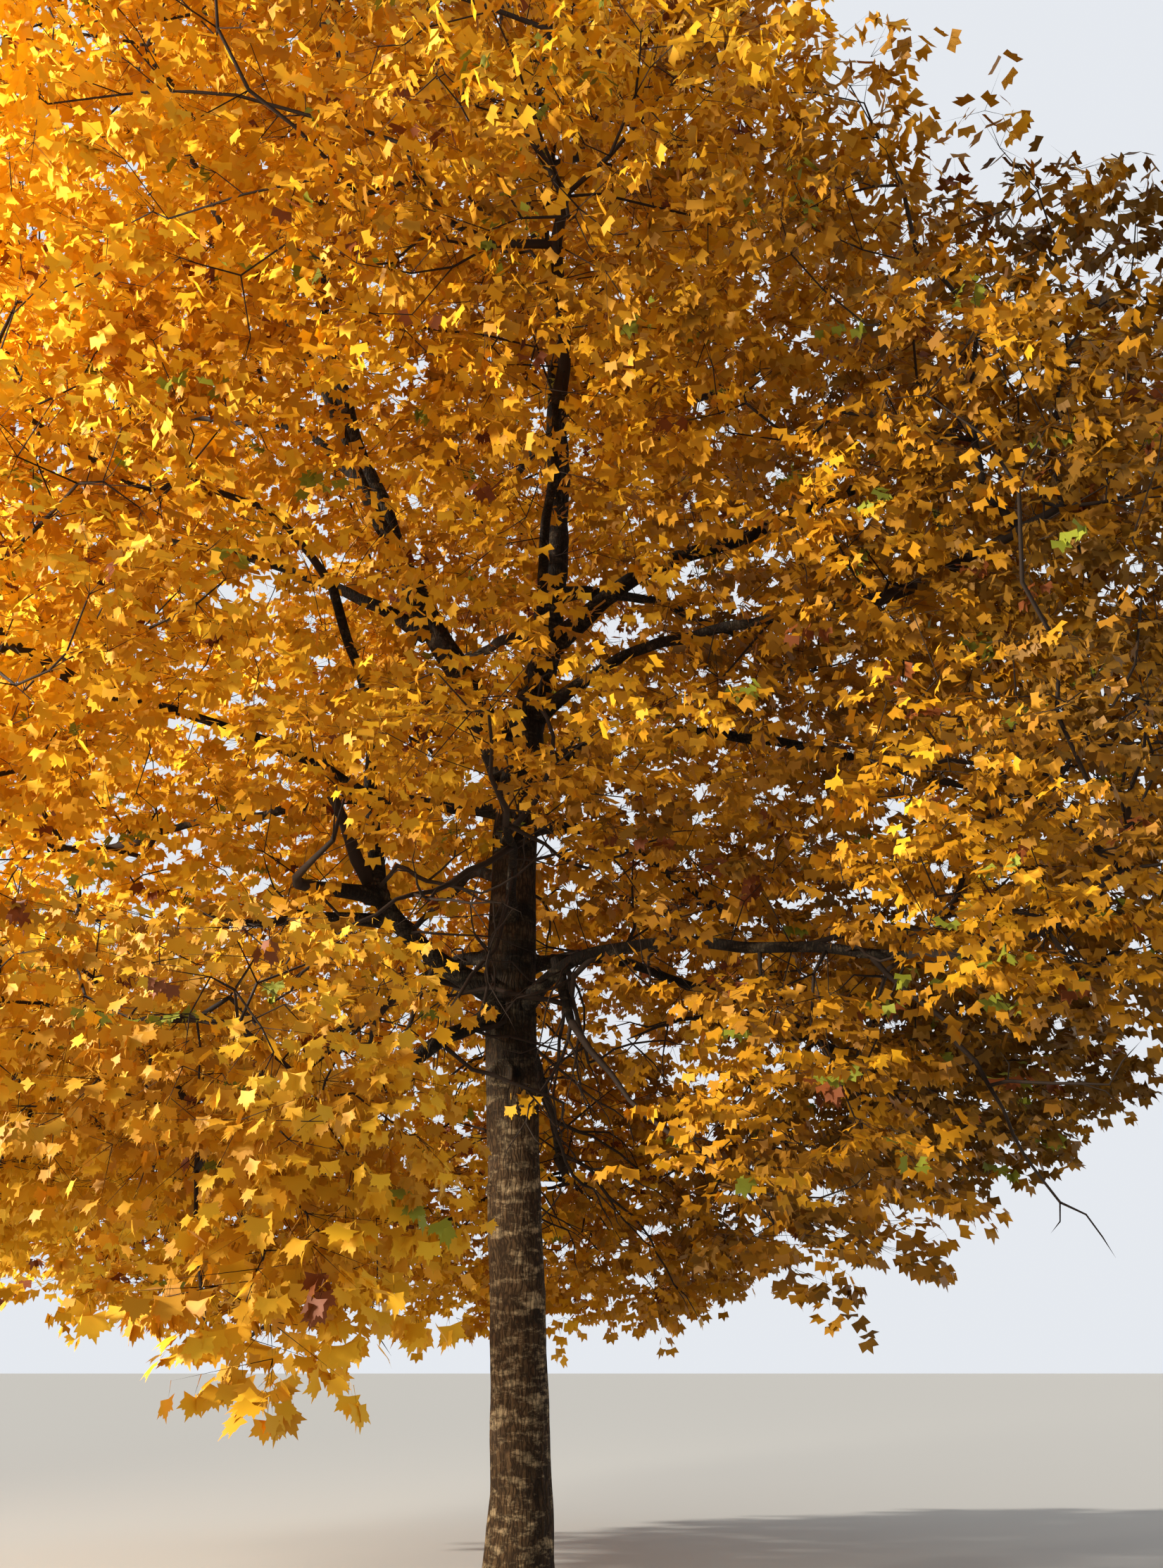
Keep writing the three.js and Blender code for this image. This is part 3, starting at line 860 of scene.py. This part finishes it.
# Leafy shoots at each spray, with their leaves in opposite pairs
shoots = {
    "perSpray": 3,
    "length": (0.2, 0.42),
    "radius": 0.0019,
    "ahead": 0.6,  # pull on along the twig
    "outward": 0.5,  # and away from the trunk
    "outwardFrom": 0.5,  # metres from its middle, nearer than which that fades
    "scatter": 0.6,
    "level": 0.4,  # how nearly level a shoot lies
    "sag": 0.2,
}
leaves = {
    "pairs": (0.42, 0.7, 0.96),  # where along a shoot its pairs sit
    "missing": 0.12,  # share of the leaves that have fallen
    "tipLeaf": 0.4,
    "width": (0.095, 0.148),  # metres
    "widthFrom": (10, 0.62),  # nearer than this many metres they are smaller, to this share
    "closeWidth": (0.055, 0.085),
    "stalk": (0.4, 0.75),  # share of the width
    "tilt": (48, 17),  # degrees below level, middle and spread from shoot to shoot
    "closeTilt": (60, 14),
    "tiltSpread": 17,  # and from leaf to leaf
    "roll": 30,
    "fold": 0.2,
    "droop": 0.26,
    "aside": 0.8,  # how a leaf stands off its shoot to the side
    "ahead": (0.2, 1.2),  # and forwards
    "scatter": 0.22,
    "tipScatter": 0.2,
}

# Half of a leaf: its lobes as degrees from the middle line and reach from the stalk's end, and
# the clefts between them
leafLobes = [(0, 1.0), (47, 0.94), (104, 0.62)]
leafClefts = [(24, 0.58), (77, 0.5)]
# A tooth, and the notch between it and the tip: degrees from the lobe's middle, share of its reach
leafTooth = {"tooth": (15, 0.76), "notch": (7.5, 0.73), "leastReach": 0.7}
leafBase = -0.07
leafStalk = ((-0.018, -0.5, 0.05), (0.018, -0.5, 0.05))


def polar(angle, reach):
    return reach * math.sin(math.radians(angle)), reach * math.cos(math.radians(angle))


def plainOutline():
    # A leaf that is seen from afar: its lowest lobes run straight into the side lobes
    turns = [(-angle, reach) for angle, reach in leafLobes[:0:-1]]
    cleft = leafClefts[0]
    turns += [(-cleft[0], cleft[1]), leafLobes[0], cleft] + leafLobes[1:]
    corners = [(0, leafBase)] + [polar(*turn) for turn in turns]
    return corners, [(0, 2, 1), (0, 3, 2), (0, 5, 3), (3, 5, 4), (0, 6, 5), (0, 7, 6)]


def lobedOutline(toothed):
    # Five lobes on the blade's five-cornered middle, with a tooth at each side of the large ones
    clefts = [(-angle, reach) for angle, reach in leafClefts[::-1]] + leafClefts
    lobes = [(-angle, reach) for angle, reach in leafLobes[:0:-1]] + leafLobes
    corners = [(0, leafBase)] + [polar(*cleft) for cleft in clefts]
    faces = [(0, 2, 1), (0, 3, 2), (0, 4, 3)]
    edges = [(0, 1), (1, 2), (2, 3), (3, 4), (4, 0)]
    for (angle, reach), (left, right) in zip(lobes, edges):
        tip = len(corners)
        corners.append(polar(angle, reach))
        if toothed and reach > leafTooth["leastReach"]:
            for turn, share in (leafTooth["tooth"], leafTooth["notch"]):
                corners += [polar(angle - turn, share * reach), polar(angle + turn, share * reach)]
            toothLeft, toothRight, notchLeft, notchRight = range(tip + 1, tip + 5)
            faces += [(notchLeft, notchRight, tip), (left, notchRight, notchLeft),
                      (left, right, notchRight), (left, notchLeft, toothLeft),
                      (right, toothRight, notchRight)]
        else:
            faces.append((left, right, tip))
    return corners, faces


def leafPattern(detail):
    # Corners and faces of one leaf, one unit wide, folded along its middle and drooping, and of
    # its stalk
    corners, faces = plainOutline() if detail == "plain" else lobedOutline(detail == "toothed")
    flat = np.array(corners)
    flat /= np.ptp(flat[:, 0])
    rise = leaves["fold"] * np.abs(flat[:, 0]) - leaves["droop"] * (flat ** 2).sum(axis=1)
    blade = np.column_stack([flat, rise])
    if detail != "plain":
        faces.append((len(blade), 0, len(blade) + 1))
        blade = np.vstack([blade, leafStalk])
    return blade, np.array(faces)[:, ::-1]


def makeLeaves(name, detail, spots, forward, tilts, widths, tints, rng, materials):
    pattern, faces = leafPattern(detail)
    stalkCorners = 0 if detail == "plain" else len(leafStalk)
    count = len(spots)
    tilt = np.radians(tilts + rng.normal(0, leaves["tiltSpread"], count))
    roll = np.radians(rng.normal(0, leaves["roll"], count))
    level = forward[:, :2] / np.maximum(1e-6, np.linalg.norm(forward[:, :2], axis=1))[:, None]
    ahead = np.column_stack([level * np.cos(tilt)[:, None], -np.sin(tilt)])
    facing = np.column_stack([level * np.sin(tilt)[:, None], np.cos(tilt)])
    aside = np.cross(ahead, facing)
    turned = np.cos(roll)[:, None] * facing + np.sin(roll)[:, None] * aside
    aside = np.cross(ahead, turned)
    stalk = rng.uniform(*leaves["stalk"], count)[:, None]
    local = np.repeat(pattern[None], count, axis=0)
    blade = len(pattern) - stalkCorners
    local[:, blade:, 1] = 0
    local[:, :blade, 1] += stalk - leafBase
    local *= widths[:, None, None]
    corners = (spots[:, None] + local[:, :, 0:1] * aside[:, None]
               + local[:, :, 1:2] * ahead[:, None] + local[:, :, 2:3] * turned[:, None])
    every = faces[None] + (np.arange(count) * len(pattern))[:, None, None]
    faceTints = np.repeat(tints, len(faces))
    piece = meshFromArrays(name, corners.reshape(-1, 3), [every.reshape(-1, 3)], faceTints)
    for material in materials:
        piece.data.materials.append(material)
    return piece


# Autumn tints, from the sunny side's lemon to the shaded side's copper, dealt out by spray. Their
# light left and dark right are partly painted light: a painted sunny glow and painted shade
tintColours = {
    "lemonLeaf": "#F3C02B",
    "goldenLeaf": "#E9AF20",
    "honeyLeaf": "#DDA21B",
    "ochreLeaf": "#CC8E17",
    "amberLeaf": "#B47C12",
    "copperLeaf": "#976512",
    # a darker copy of copper, which paints shade on the right side
    "bronzeLeaf": "#7C5511",
    "russetLeaf": "#7E421A",
    "limeLeaf": "#8F922C",
}
tintPlan = {
    "middle": 0.42,
    "perRight": 0.085,  # warmer and darker by this for each metre to the right: autumn tint together with painted shade
    # lighter by this for each metre up and darker lower down: painted shade
    "perUp": -0.01,
    "upFrom": 8,  # metres
    "patch": 0.45,
    "patchSize": 1.6,
    "spread": 0.09,
    "steps": 7,  # the tints from lemon to bronze
    "russet": 0.015,
    "lime": 0.012,
}


def leafTint(place, change, rng):
    names = list(tintColours)
    chance = rng.random()
    if chance < tintPlan["russet"]:
        return names.index("russetLeaf")
    if chance < tintPlan["russet"] + tintPlan["lime"]:
        return names.index("limeLeaf")
    # the tint's place in the run from light to dark, with painted shade to the right and lower down
    warmth = (tintPlan["middle"] + tintPlan["perRight"] * place[0]
              + tintPlan["perUp"] * (place[2] - tintPlan["upFrom"])
              + tintPlan["patch"] * noise.noise(Vector(place) / tintPlan["patchSize"])
              + rng.normal(0, tintPlan["spread"]) + change)
    return int(min(tintPlan["steps"] - 1, max(0, math.floor(warmth * tintPlan["steps"]))))


def leafMaterials():
    # Maple leaves in autumn: thin, soft and waxy, so a broad dull sheen over a clear, warm colour
    made = []
    for name, colour in tintColours.items():
        settings = {"Base Color": linear(colour), "Roughness": 0.6, "Specular IOR Level": 0.22}
        made.append(newMaterial(name, settings)[0])
    return made


def twigMaterial():
    # Young maple bark: smooth and brown-grey, almost without sheen
    return newMaterial("youngMapleBark", {
        "Base Color": linear("#2E2219"), "Roughness": 0.8, "Specular IOR Level": 0.25})[0]


# Patterns of the bark, on Object coordinates; a ramp is (from least, from most, to least, to most)
barkLook = {
    "crackWidth": 0.03,  # metres between the upright cracks; 20 mm in life, which would not show
    "crackLength": 0.22,
    "crackStray": 0.03,
    "strayNoise": {"Scale": 9, "Detail": 2},
    "plates": (0, 0.26, 0.1, 1),
    "fibreNoise": {"Scale": 110, "Detail": 5, "Roughness": 0.6},
    "fibres": (0.3, 0.7, 0.3, 1),
    "streakFlatness": 2.6,  # lichen, and the algae with painted shade, lie in level streaks, wider than high by this
    "algaeNoise": {"Scale": 1 / 0.4, "Detail": 5, "Roughness": 0.6},  # patches of 0.4 m
    "algae": (0.34, 0.54),
    "lichenNoise": {"Scale": 1 / 0.2, "Detail": 7, "Roughness": 0.7},  # and of 0.2 m
    "lichen": (0.5, 0.64, 0, 1),
    "raised": (0, 0.5, 0.15, 1),
    "hollow": (0.3, 1.1, 0.12, 1),  # painted shade in a wound's hollow; the first two are shares of a wound's half width
    "bump": {"Strength": 0.8, "Distance": 0.012},
}
barkKinds = {
    # The old trunk: grey-brown, with lichen low down; darker higher up, with algae and the crown's
    # painted shade, and darker on its right side, which is painted shade
    "oldMapleBark": {"crack": "#281B10", "ridge": "#7D6040", "moss": "#150F09", "lichen": "#CBB086",
                     "lichenByHeight": (2.6, 3.8, 0.8, 0.1), "mossByHeight": (2.8, 3.75, 0.15, 1),
                     "mossLeast": 0.45, "dampSide": (-0.1, 0.12, 0.0, 0.75),
                     "wounds": ("scar", "knot")},
    # The boughs: darker, smoother, with algae and painted shade all over, and little lichen
    "boughMapleBark": {"crack": "#150F0A", "ridge": "#403225", "moss": "#120E09",
                       "lichen": "#8C7B60", "lichenByHeight": (0, 1, 0.3, 0.3),
                       "mossByHeight": (0, 1, 0.7, 0.7), "mossLeast": 0.4,
                       "dampSide": (0, 1, 0, 0), "wounds": ()},
}


def addRamp(tree, limits, value):
    settings = dict(zip(("From Min", "From Max", "To Min", "To Max"), limits))
    return addNode(tree, "MapRange", settings, {"Value": value})


def barkMaterial(name):
    # Maple bark: dry and dull, in a net of fine upright ridges, with pale lichen, and dark algae
    # mixed with painted shade
    kind = barkKinds[name]
    material, tree, shader = newMaterial(name, {"Roughness": 0.9, "Specular IOR Level": 0.2})
    times = {"operation": "MULTIPLY"}
    upScale = barkLook["crackWidth"] / barkLook["crackLength"]
    place = addNode(tree, "TexCoord").outputs["Object"]
    split = addNode(tree, "SeparateXYZ", None, {"Vector": place})
    upright = addNode(tree, "Mapping", {"Scale": (1, 1, upScale)}, {"Vector": place})
    bend = addNode(tree, "TexNoise", barkLook["strayNoise"], {"Vector": place})
    strayed = addNode(tree, "MixRGB", {"blend_type": "LINEAR_LIGHT", "Fac": barkLook["crackStray"]},
                      {"Color1": upright, "Color2": bend.outputs["Color"]})
    cracks = addNode(tree, "TexVoronoi",
                     {"feature": "DISTANCE_TO_EDGE", "Scale": 1 / barkLook["crackWidth"]},
                     {"Vector": strayed})
    plates = addRamp(tree, barkLook["plates"], cracks)
    fibres = addNode(tree, "TexNoise", barkLook["fibreNoise"], {"Vector": upright})
    grain = addRamp(tree, barkLook["fibres"], fibres)
    ridges = addNode(tree, "Math", times, {0: plates, 1: grain})
    dry = {"Color1": linear(kind["crack"]), "Color2": linear(kind["ridge"])}
    bare = addNode(tree, "MixRGB", dry, {"Fac": ridges})
    # Algae and painted shade: all over the upper trunk, and painted shade up the right side, uneven
    # at its edges
    stretch = (1, 1, barkLook["streakFlatness"])
    flat = addNode(tree, "Mapping", {"Scale": stretch}, {"Vector": place})
    patches = addNode(tree, "TexNoise", barkLook["algaeNoise"], {"Vector": flat})
    uneven = addRamp(tree, (*barkLook["algae"], kind["mossLeast"], 1), patches)
    aloft = addRamp(tree, kind["mossByHeight"], split.outputs["Z"])
    rightShade = addRamp(tree, kind["dampSide"], split.outputs["X"])
    shaded = addNode(tree, "Math", {"operation": "MAXIMUM"}, {0: aloft, 1: rightShade})
    algae = addNode(tree, "Math", times, {0: uneven, 1: shaded})
    algaeShaded = addNode(tree, "MixRGB", {"Color2": linear(kind["moss"])},
                    {"Fac": algae, "Color1": bare})
    # Lichen: pale level streaks on the ridges, low on the trunk
    lichen = addNode(tree, "TexNoise", barkLook["lichenNoise"], {"Vector": flat})
    streaks = addRamp(tree, barkLook["lichen"], lichen)
    lowDown = addRamp(tree, kind["lichenByHeight"], split.outputs["Z"])
    pale = addNode(tree, "Math", times, {0: streaks, 1: lowDown})
    raised = addRamp(tree, barkLook["raised"], ridges)
    onRidges = addNode(tree, "Math", times, {0: pale, 1: raised})
    colour = addNode(tree, "MixRGB", {"Color2": linear(kind["lichen"])},
                     {"Fac": onRidges, "Color1": algaeShaded})
    # The hollows of old wounds are darkened: painted shade in the recess
    for wound in (trunkBark[woundName] for woundName in kind["wounds"]):
        least, most, darkest, lightest = barkLook["hollow"]
        shift = (-wound["aside"], -wound["front"], -wound["height"])
        middle = addNode(tree, "Mapping", {"Location": shift}, {"Vector": place})
        away = addNode(tree, "VectorMath", {"operation": "LENGTH"}, {0: middle})
        reach = (least * wound["halfWidth"], most * wound["halfWidth"], darkest, lightest)
        hollow = addRamp(tree, reach, away.outputs["Value"])
        colour = addNode(tree, "MixRGB", {"blend_type": "MULTIPLY", "Fac": 1},
                         {"Color1": colour, "Color2": hollow})
    tree.links.new(colour.outputs[0], shader.inputs["Base Color"])
    bump = addNode(tree, "Bump", barkLook["bump"], {"Height": ridges})
    tree.links.new(bump.outputs[0], shader.inputs["Normal"])
    return material


def finishPiece(piece, replaced, material=None):
    if material:
        piece.data.materials.clear()
        piece.data.materials.append(material)
    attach(piece, "root")
    if replaced:
        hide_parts(*replaced)


def makeBark():
    noise.seed_set(limbBark["crookSeed"])
    lines = {}
    for node in stemNodes + boughNodes:
        line, thick = evenLine(*limbLine(node), limbBark["spacing"], limbBark["softness"])
        lines[node] = (crooked(line), thick)
    trunkSkin, boughSkin = barkMaterial("oldMapleBark"), barkMaterial("boughMapleBark")
    pieces = [makeTrunkBark()]
    finishPiece(pieces[0], ["trunk"], trunkSkin)
    print("trunk bark made")
    for name, nodes in (("stemBark", stemNodes), ("boughBark", boughNodes)):
        pieces.append(makeLimbBark(name, nodes, lines))
        finishPiece(pieces[-1], nodes, boughSkin)
    deselectAll()
    for piece in pieces:
        piece.select_set(True)
    bpy.ops.object.shade_smooth()
    print("stem and bough bark made")
    return lines


def growCrown(lines):
    rng = np.random.default_rng(growth["seed"])
    trees = {node: solidTree(node) for node in massNodes}
    wood = Wood()
    tips = {}
    stride = round(growth["limbJoints"] / limbBark["spacing"])
    for node, (line, thick) in lines.items():
        for place in [*line[stride::stride], line[-1]]:
            tips[node] = wood.add(place, -1, node, False)
    limbJoints = range(len(wood.places))
    sprigFoot = wood.add(sprig["foot"], -1, "bare", False)
    firstGrown = len(wood.places)
    leastRadii = extendLimbs(wood, lines, tips, trees, rng)
    ends = [Vector(line[-1]) for line, thick in lines.values()]
    nearestTip = {node: min(abs(insideDepth(tree, end)) for end in ends)
                  for node, tree in trees.items()}
    for node in sorted(massNodes, key=nearestTip.get):
        growMass(node, wood, trees, rng)
    print("masses grown:", sum(wood.leafy), "sprays")
    growInside(lines, wood, limbJoints, trees, rng)
    growBareTwigs(wood, limbJoints, rng)
    growSprig(wood, sprigFoot)
    return wood, firstGrown, leastRadii, rng


def makeTwigs(wood, firstGrown, leastRadii):
    radii = woodRadii(wood, firstGrown, leastRadii)
    places = np.array(wood.places)
    branches, twigs = TubeMesh(), TubeMesh()
    for run in runsOf(wood, radii, firstGrown):
        thick = radii[run]
        thick[0] = thick[1] / growth["tipTaper"]
        sides = next(count for least, count in growth["sides"] if thick[0] > least)
        (branches if sides > 3 else twigs).add(places[run], thick, sides)
    return branches, twigs


def makeShoots(wood, firstGrown, rng):
    # Finds where each leaf joins its shoot, which way it points, how steeply it hangs, its width,
    # its spray's tint and its mass
    shootWood = TubeMesh()
    found = []
    for i in range(firstGrown, len(wood.places)):
        if not wood.leafy[i]:
            continue
        place, home = wood.places[i], wood.homes[i]
        back = unit(place - wood.places[wood.parents[i]])
        outward = np.array([place[0], place[1], 0])
        outward = outward / max(shoots["outwardFrom"], math.hypot(place[0], place[1]))
        for _ in range(shoots["perSpray"]):
            way = (back * shoots["ahead"] + outward * shoots["outward"]
                   + rng.normal(0, shoots["scatter"], 3))
            way[2] *= shoots["level"]
            way = unit(way)
            length = rng.uniform(*shoots["length"])
            tip = place + way * length - np.array([0, 0, shoots["sag"] * length])
            shootWood.add(np.array([place, tip]), [shoots["radius"]], 3)
            hanging = home == hangingBranch["mass"] and inHangingBranch(place)
            tint = leafTint(place, hangingBranch["warmth"] if hanging else 0, rng)
            tilt = rng.normal(*leaves["closeTilt" if home in closeMasses else "tilt"])
            usual, least = leaves["widthFrom"]
            widths = np.array(leaves["width"]) * min(1, max(least, eyeDistance(place) / usual))
            if home in closeMasses:
                widths = hangingBranch["width"] if hanging else leaves["closeWidth"]
            aside = unit(np.cross(way, (0, 0, 1))) * leaves["aside"]
            for joint in leaves["pairs"]:
                for side in (-1, 1):
                    if rng.random() > leaves["missing"]:
                        ahead = side * aside + way * rng.uniform(*leaves["ahead"])
                        ahead = ahead + rng.normal(0, leaves["scatter"], 3)
                        spot = place + (tip - place) * joint
                        found.append((spot, ahead, tilt, rng.uniform(*widths), tint, home))
            if rng.random() < leaves["tipLeaf"]:
                ahead = way + rng.normal(0, leaves["tipScatter"], 3)
                found.append((tip, ahead, tilt, rng.uniform(*widths), tint, home))
    tint = list(tintColours).index(sprig["tint"])
    for joint in wood.sprigJoints:
        for _ in range(sprig["leavesAtStep"]):
            way = np.array([rng.normal(0, sprig["spread"]), -1, 0])
            found.append((wood.places[joint], way, sprig["tilt"], sprig["width"], tint,
                          sprig["home"]))
    return shootWood, [np.array(kind) for kind in zip(*found)]


# The masses' leaves are joined by the side of the tree and the tier that they are on. Those of the
# masses nearest the viewer have more detail.
leafSides = {"Left": (-2, "leaves_lemon"), "Middle": (2, "leaves_gold"),
             "Right": (math.inf, "leaves_amber")}
leafTiers = {"Low": 4.7, "Middle": 7.6, "Upper": 11.0, "High": math.inf}
leafDetails = {"leaves_front_hang": "toothed", "leaves_left_front_skirt": "lobed"}


def leafPieceOf(node):
    low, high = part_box(node)
    middle = (low + high) / 2
    side = next(name for name, (end, slot) in leafSides.items() if middle.x < end)
    tier = next(name for name, end in leafTiers.items() if middle.z < end)
    return side, "Near" if node in closeMasses else tier, leafDetails.get(node, "plain")


def makeCrown(lines):
    wood, firstGrown, leastRadii, rng = growCrown(lines)
    branches, twigs = makeTwigs(wood, firstGrown, leastRadii)
    shootWood, (*found, homes) = makeShoots(wood, firstGrown, rng)
    twigSkin = twigMaterial()
    total = 0
    for name, made in (("branchWood", branches), ("twigWood", twigs), ("shootWood", shootWood)):
        piece = made.piece(name)
        finishPiece(piece, [], twigSkin)
        piece.data.calc_loop_triangles()
        print(name, len(piece.data.loop_triangles), "triangles")
        total += len(piece.data.loop_triangles)
    materials = leafMaterials()
    for side, tier, detail in sorted({leafPieceOf(node) for node in massNodes}):
        own = [node for node in massNodes if leafPieceOf(node) == (side, tier, detail)]
        chosen = np.isin(homes, own)
        piece = makeLeaves("leaves" + side + tier, detail, *(kind[chosen] for kind in found), rng,
                           materials)
        finishPiece(piece, own)
        total += len(piece.data.polygons)
        print(piece.name, len(piece.data.polygons), "triangles")
    print("crown made:", len(homes), "leaves,", total, "triangles")


studio = {
    "floorSize": 400,  # metres
    "floorColour": "#BDBAB4",
    "sky": "#EEF2F8",
    "skyStrength": 0.5,  # as light on the tree
    "backdropStrength": 0.92,  # as the camera sees it
    "keyStrength": 4.5,
    "keyAngle": 2,  # degrees, how soft the key light is
    "keyFrom": (-0.94, -0.08, 0.42),
    "keyColour": (1.0, 0.95, 0.86),
    "fillStrength": 0.3,
    "fillFrom": (-0.5, -0.85, 0.05),
    "backStrength": 0.9,
    "backFrom": (0.75, 0.6, 0.25),
    "softAngle": 60,
    "softboxPower": 1700,
    "softboxSize": 2.5,
    "softboxSpread": 90,  # degrees, so that it lights the left side of the tree
    "softboxFrom": (-14, -9, 6),
    "softboxTo": (-4, -2, 7),
    "softboxColour": (1.0, 0.94, 0.8),
    "lampDistance": 30,  # metres, which does not change a sun lamp's light
}


def addLight(name, kind, place, power, direction):
    bpy.ops.object.light_add(type=kind, location=place)
    light = bpy.context.object
    light.name = name
    light.data.energy = power
    light.rotation_mode = "QUATERNION"
    light.rotation_quaternion = direction.to_track_quat("Z", "Y")
    return light


def addSun(name, strength, angle, direction):
    direction = Vector(direction)
    light = addLight(name, "SUN", direction * studio["lampDistance"], strength, direction)
    light.data.angle = math.radians(angle)
    return light


def setStudio():
    bpy.ops.mesh.primitive_plane_add(size=studio["floorSize"], location=(0, 0, 0))
    floor = bpy.context.object
    floor.name = "studioFloor"
    # Matte painted floor: pale and even
    floor.data.materials.append(newMaterial("paleFloorPaint", {
        "Base Color": linear(studio["floorColour"]), "Roughness": 0.9})[0])
    key = addSun("keyLight", studio["keyStrength"], studio["keyAngle"], studio["keyFrom"])
    key.data.color = studio["keyColour"]
    addSun("fillLight", studio["fillStrength"], studio["softAngle"], studio["fillFrom"])
    addSun("backLight", studio["backStrength"], studio["softAngle"], studio["backFrom"])
    away = Vector(studio["softboxFrom"]) - Vector(studio["softboxTo"])
    softbox = addLight("softbox", "AREA", studio["softboxFrom"], studio["softboxPower"], away)
    softbox.data.size = studio["softboxSize"]
    softbox.data.spread = math.radians(studio["softboxSpread"])
    softbox.data.color = studio["softboxColour"]
    softbox.visible_camera = False
    world = bpy.data.worlds.new("paleStudio")
    bpy.context.scene.world = world
    world.use_nodes = True
    tree = world.node_tree
    softLight = tree.nodes["Background"]
    softLight.inputs["Color"].default_value = linear(studio["sky"])
    softLight.inputs["Strength"].default_value = studio["skyStrength"]
    backdrop = addNode(tree, "Background",
                       {"Color": linear(studio["sky"]), "Strength": studio["backdropStrength"]})
    seen = addNode(tree, "LightPath").outputs["Is Camera Ray"]
    either = addNode(tree, "MixShader", None, {0: seen, 1: softLight, 2: backdrop})
    tree.links.new(either.outputs[0], tree.nodes["World Output"].inputs["Surface"])
    bpy.context.scene.view_settings.view_transform = "Standard"


addCamera()
deselectAll()
limbLines = makeBark()
makeCrown(limbLines)
setStudio()
print("studio set")
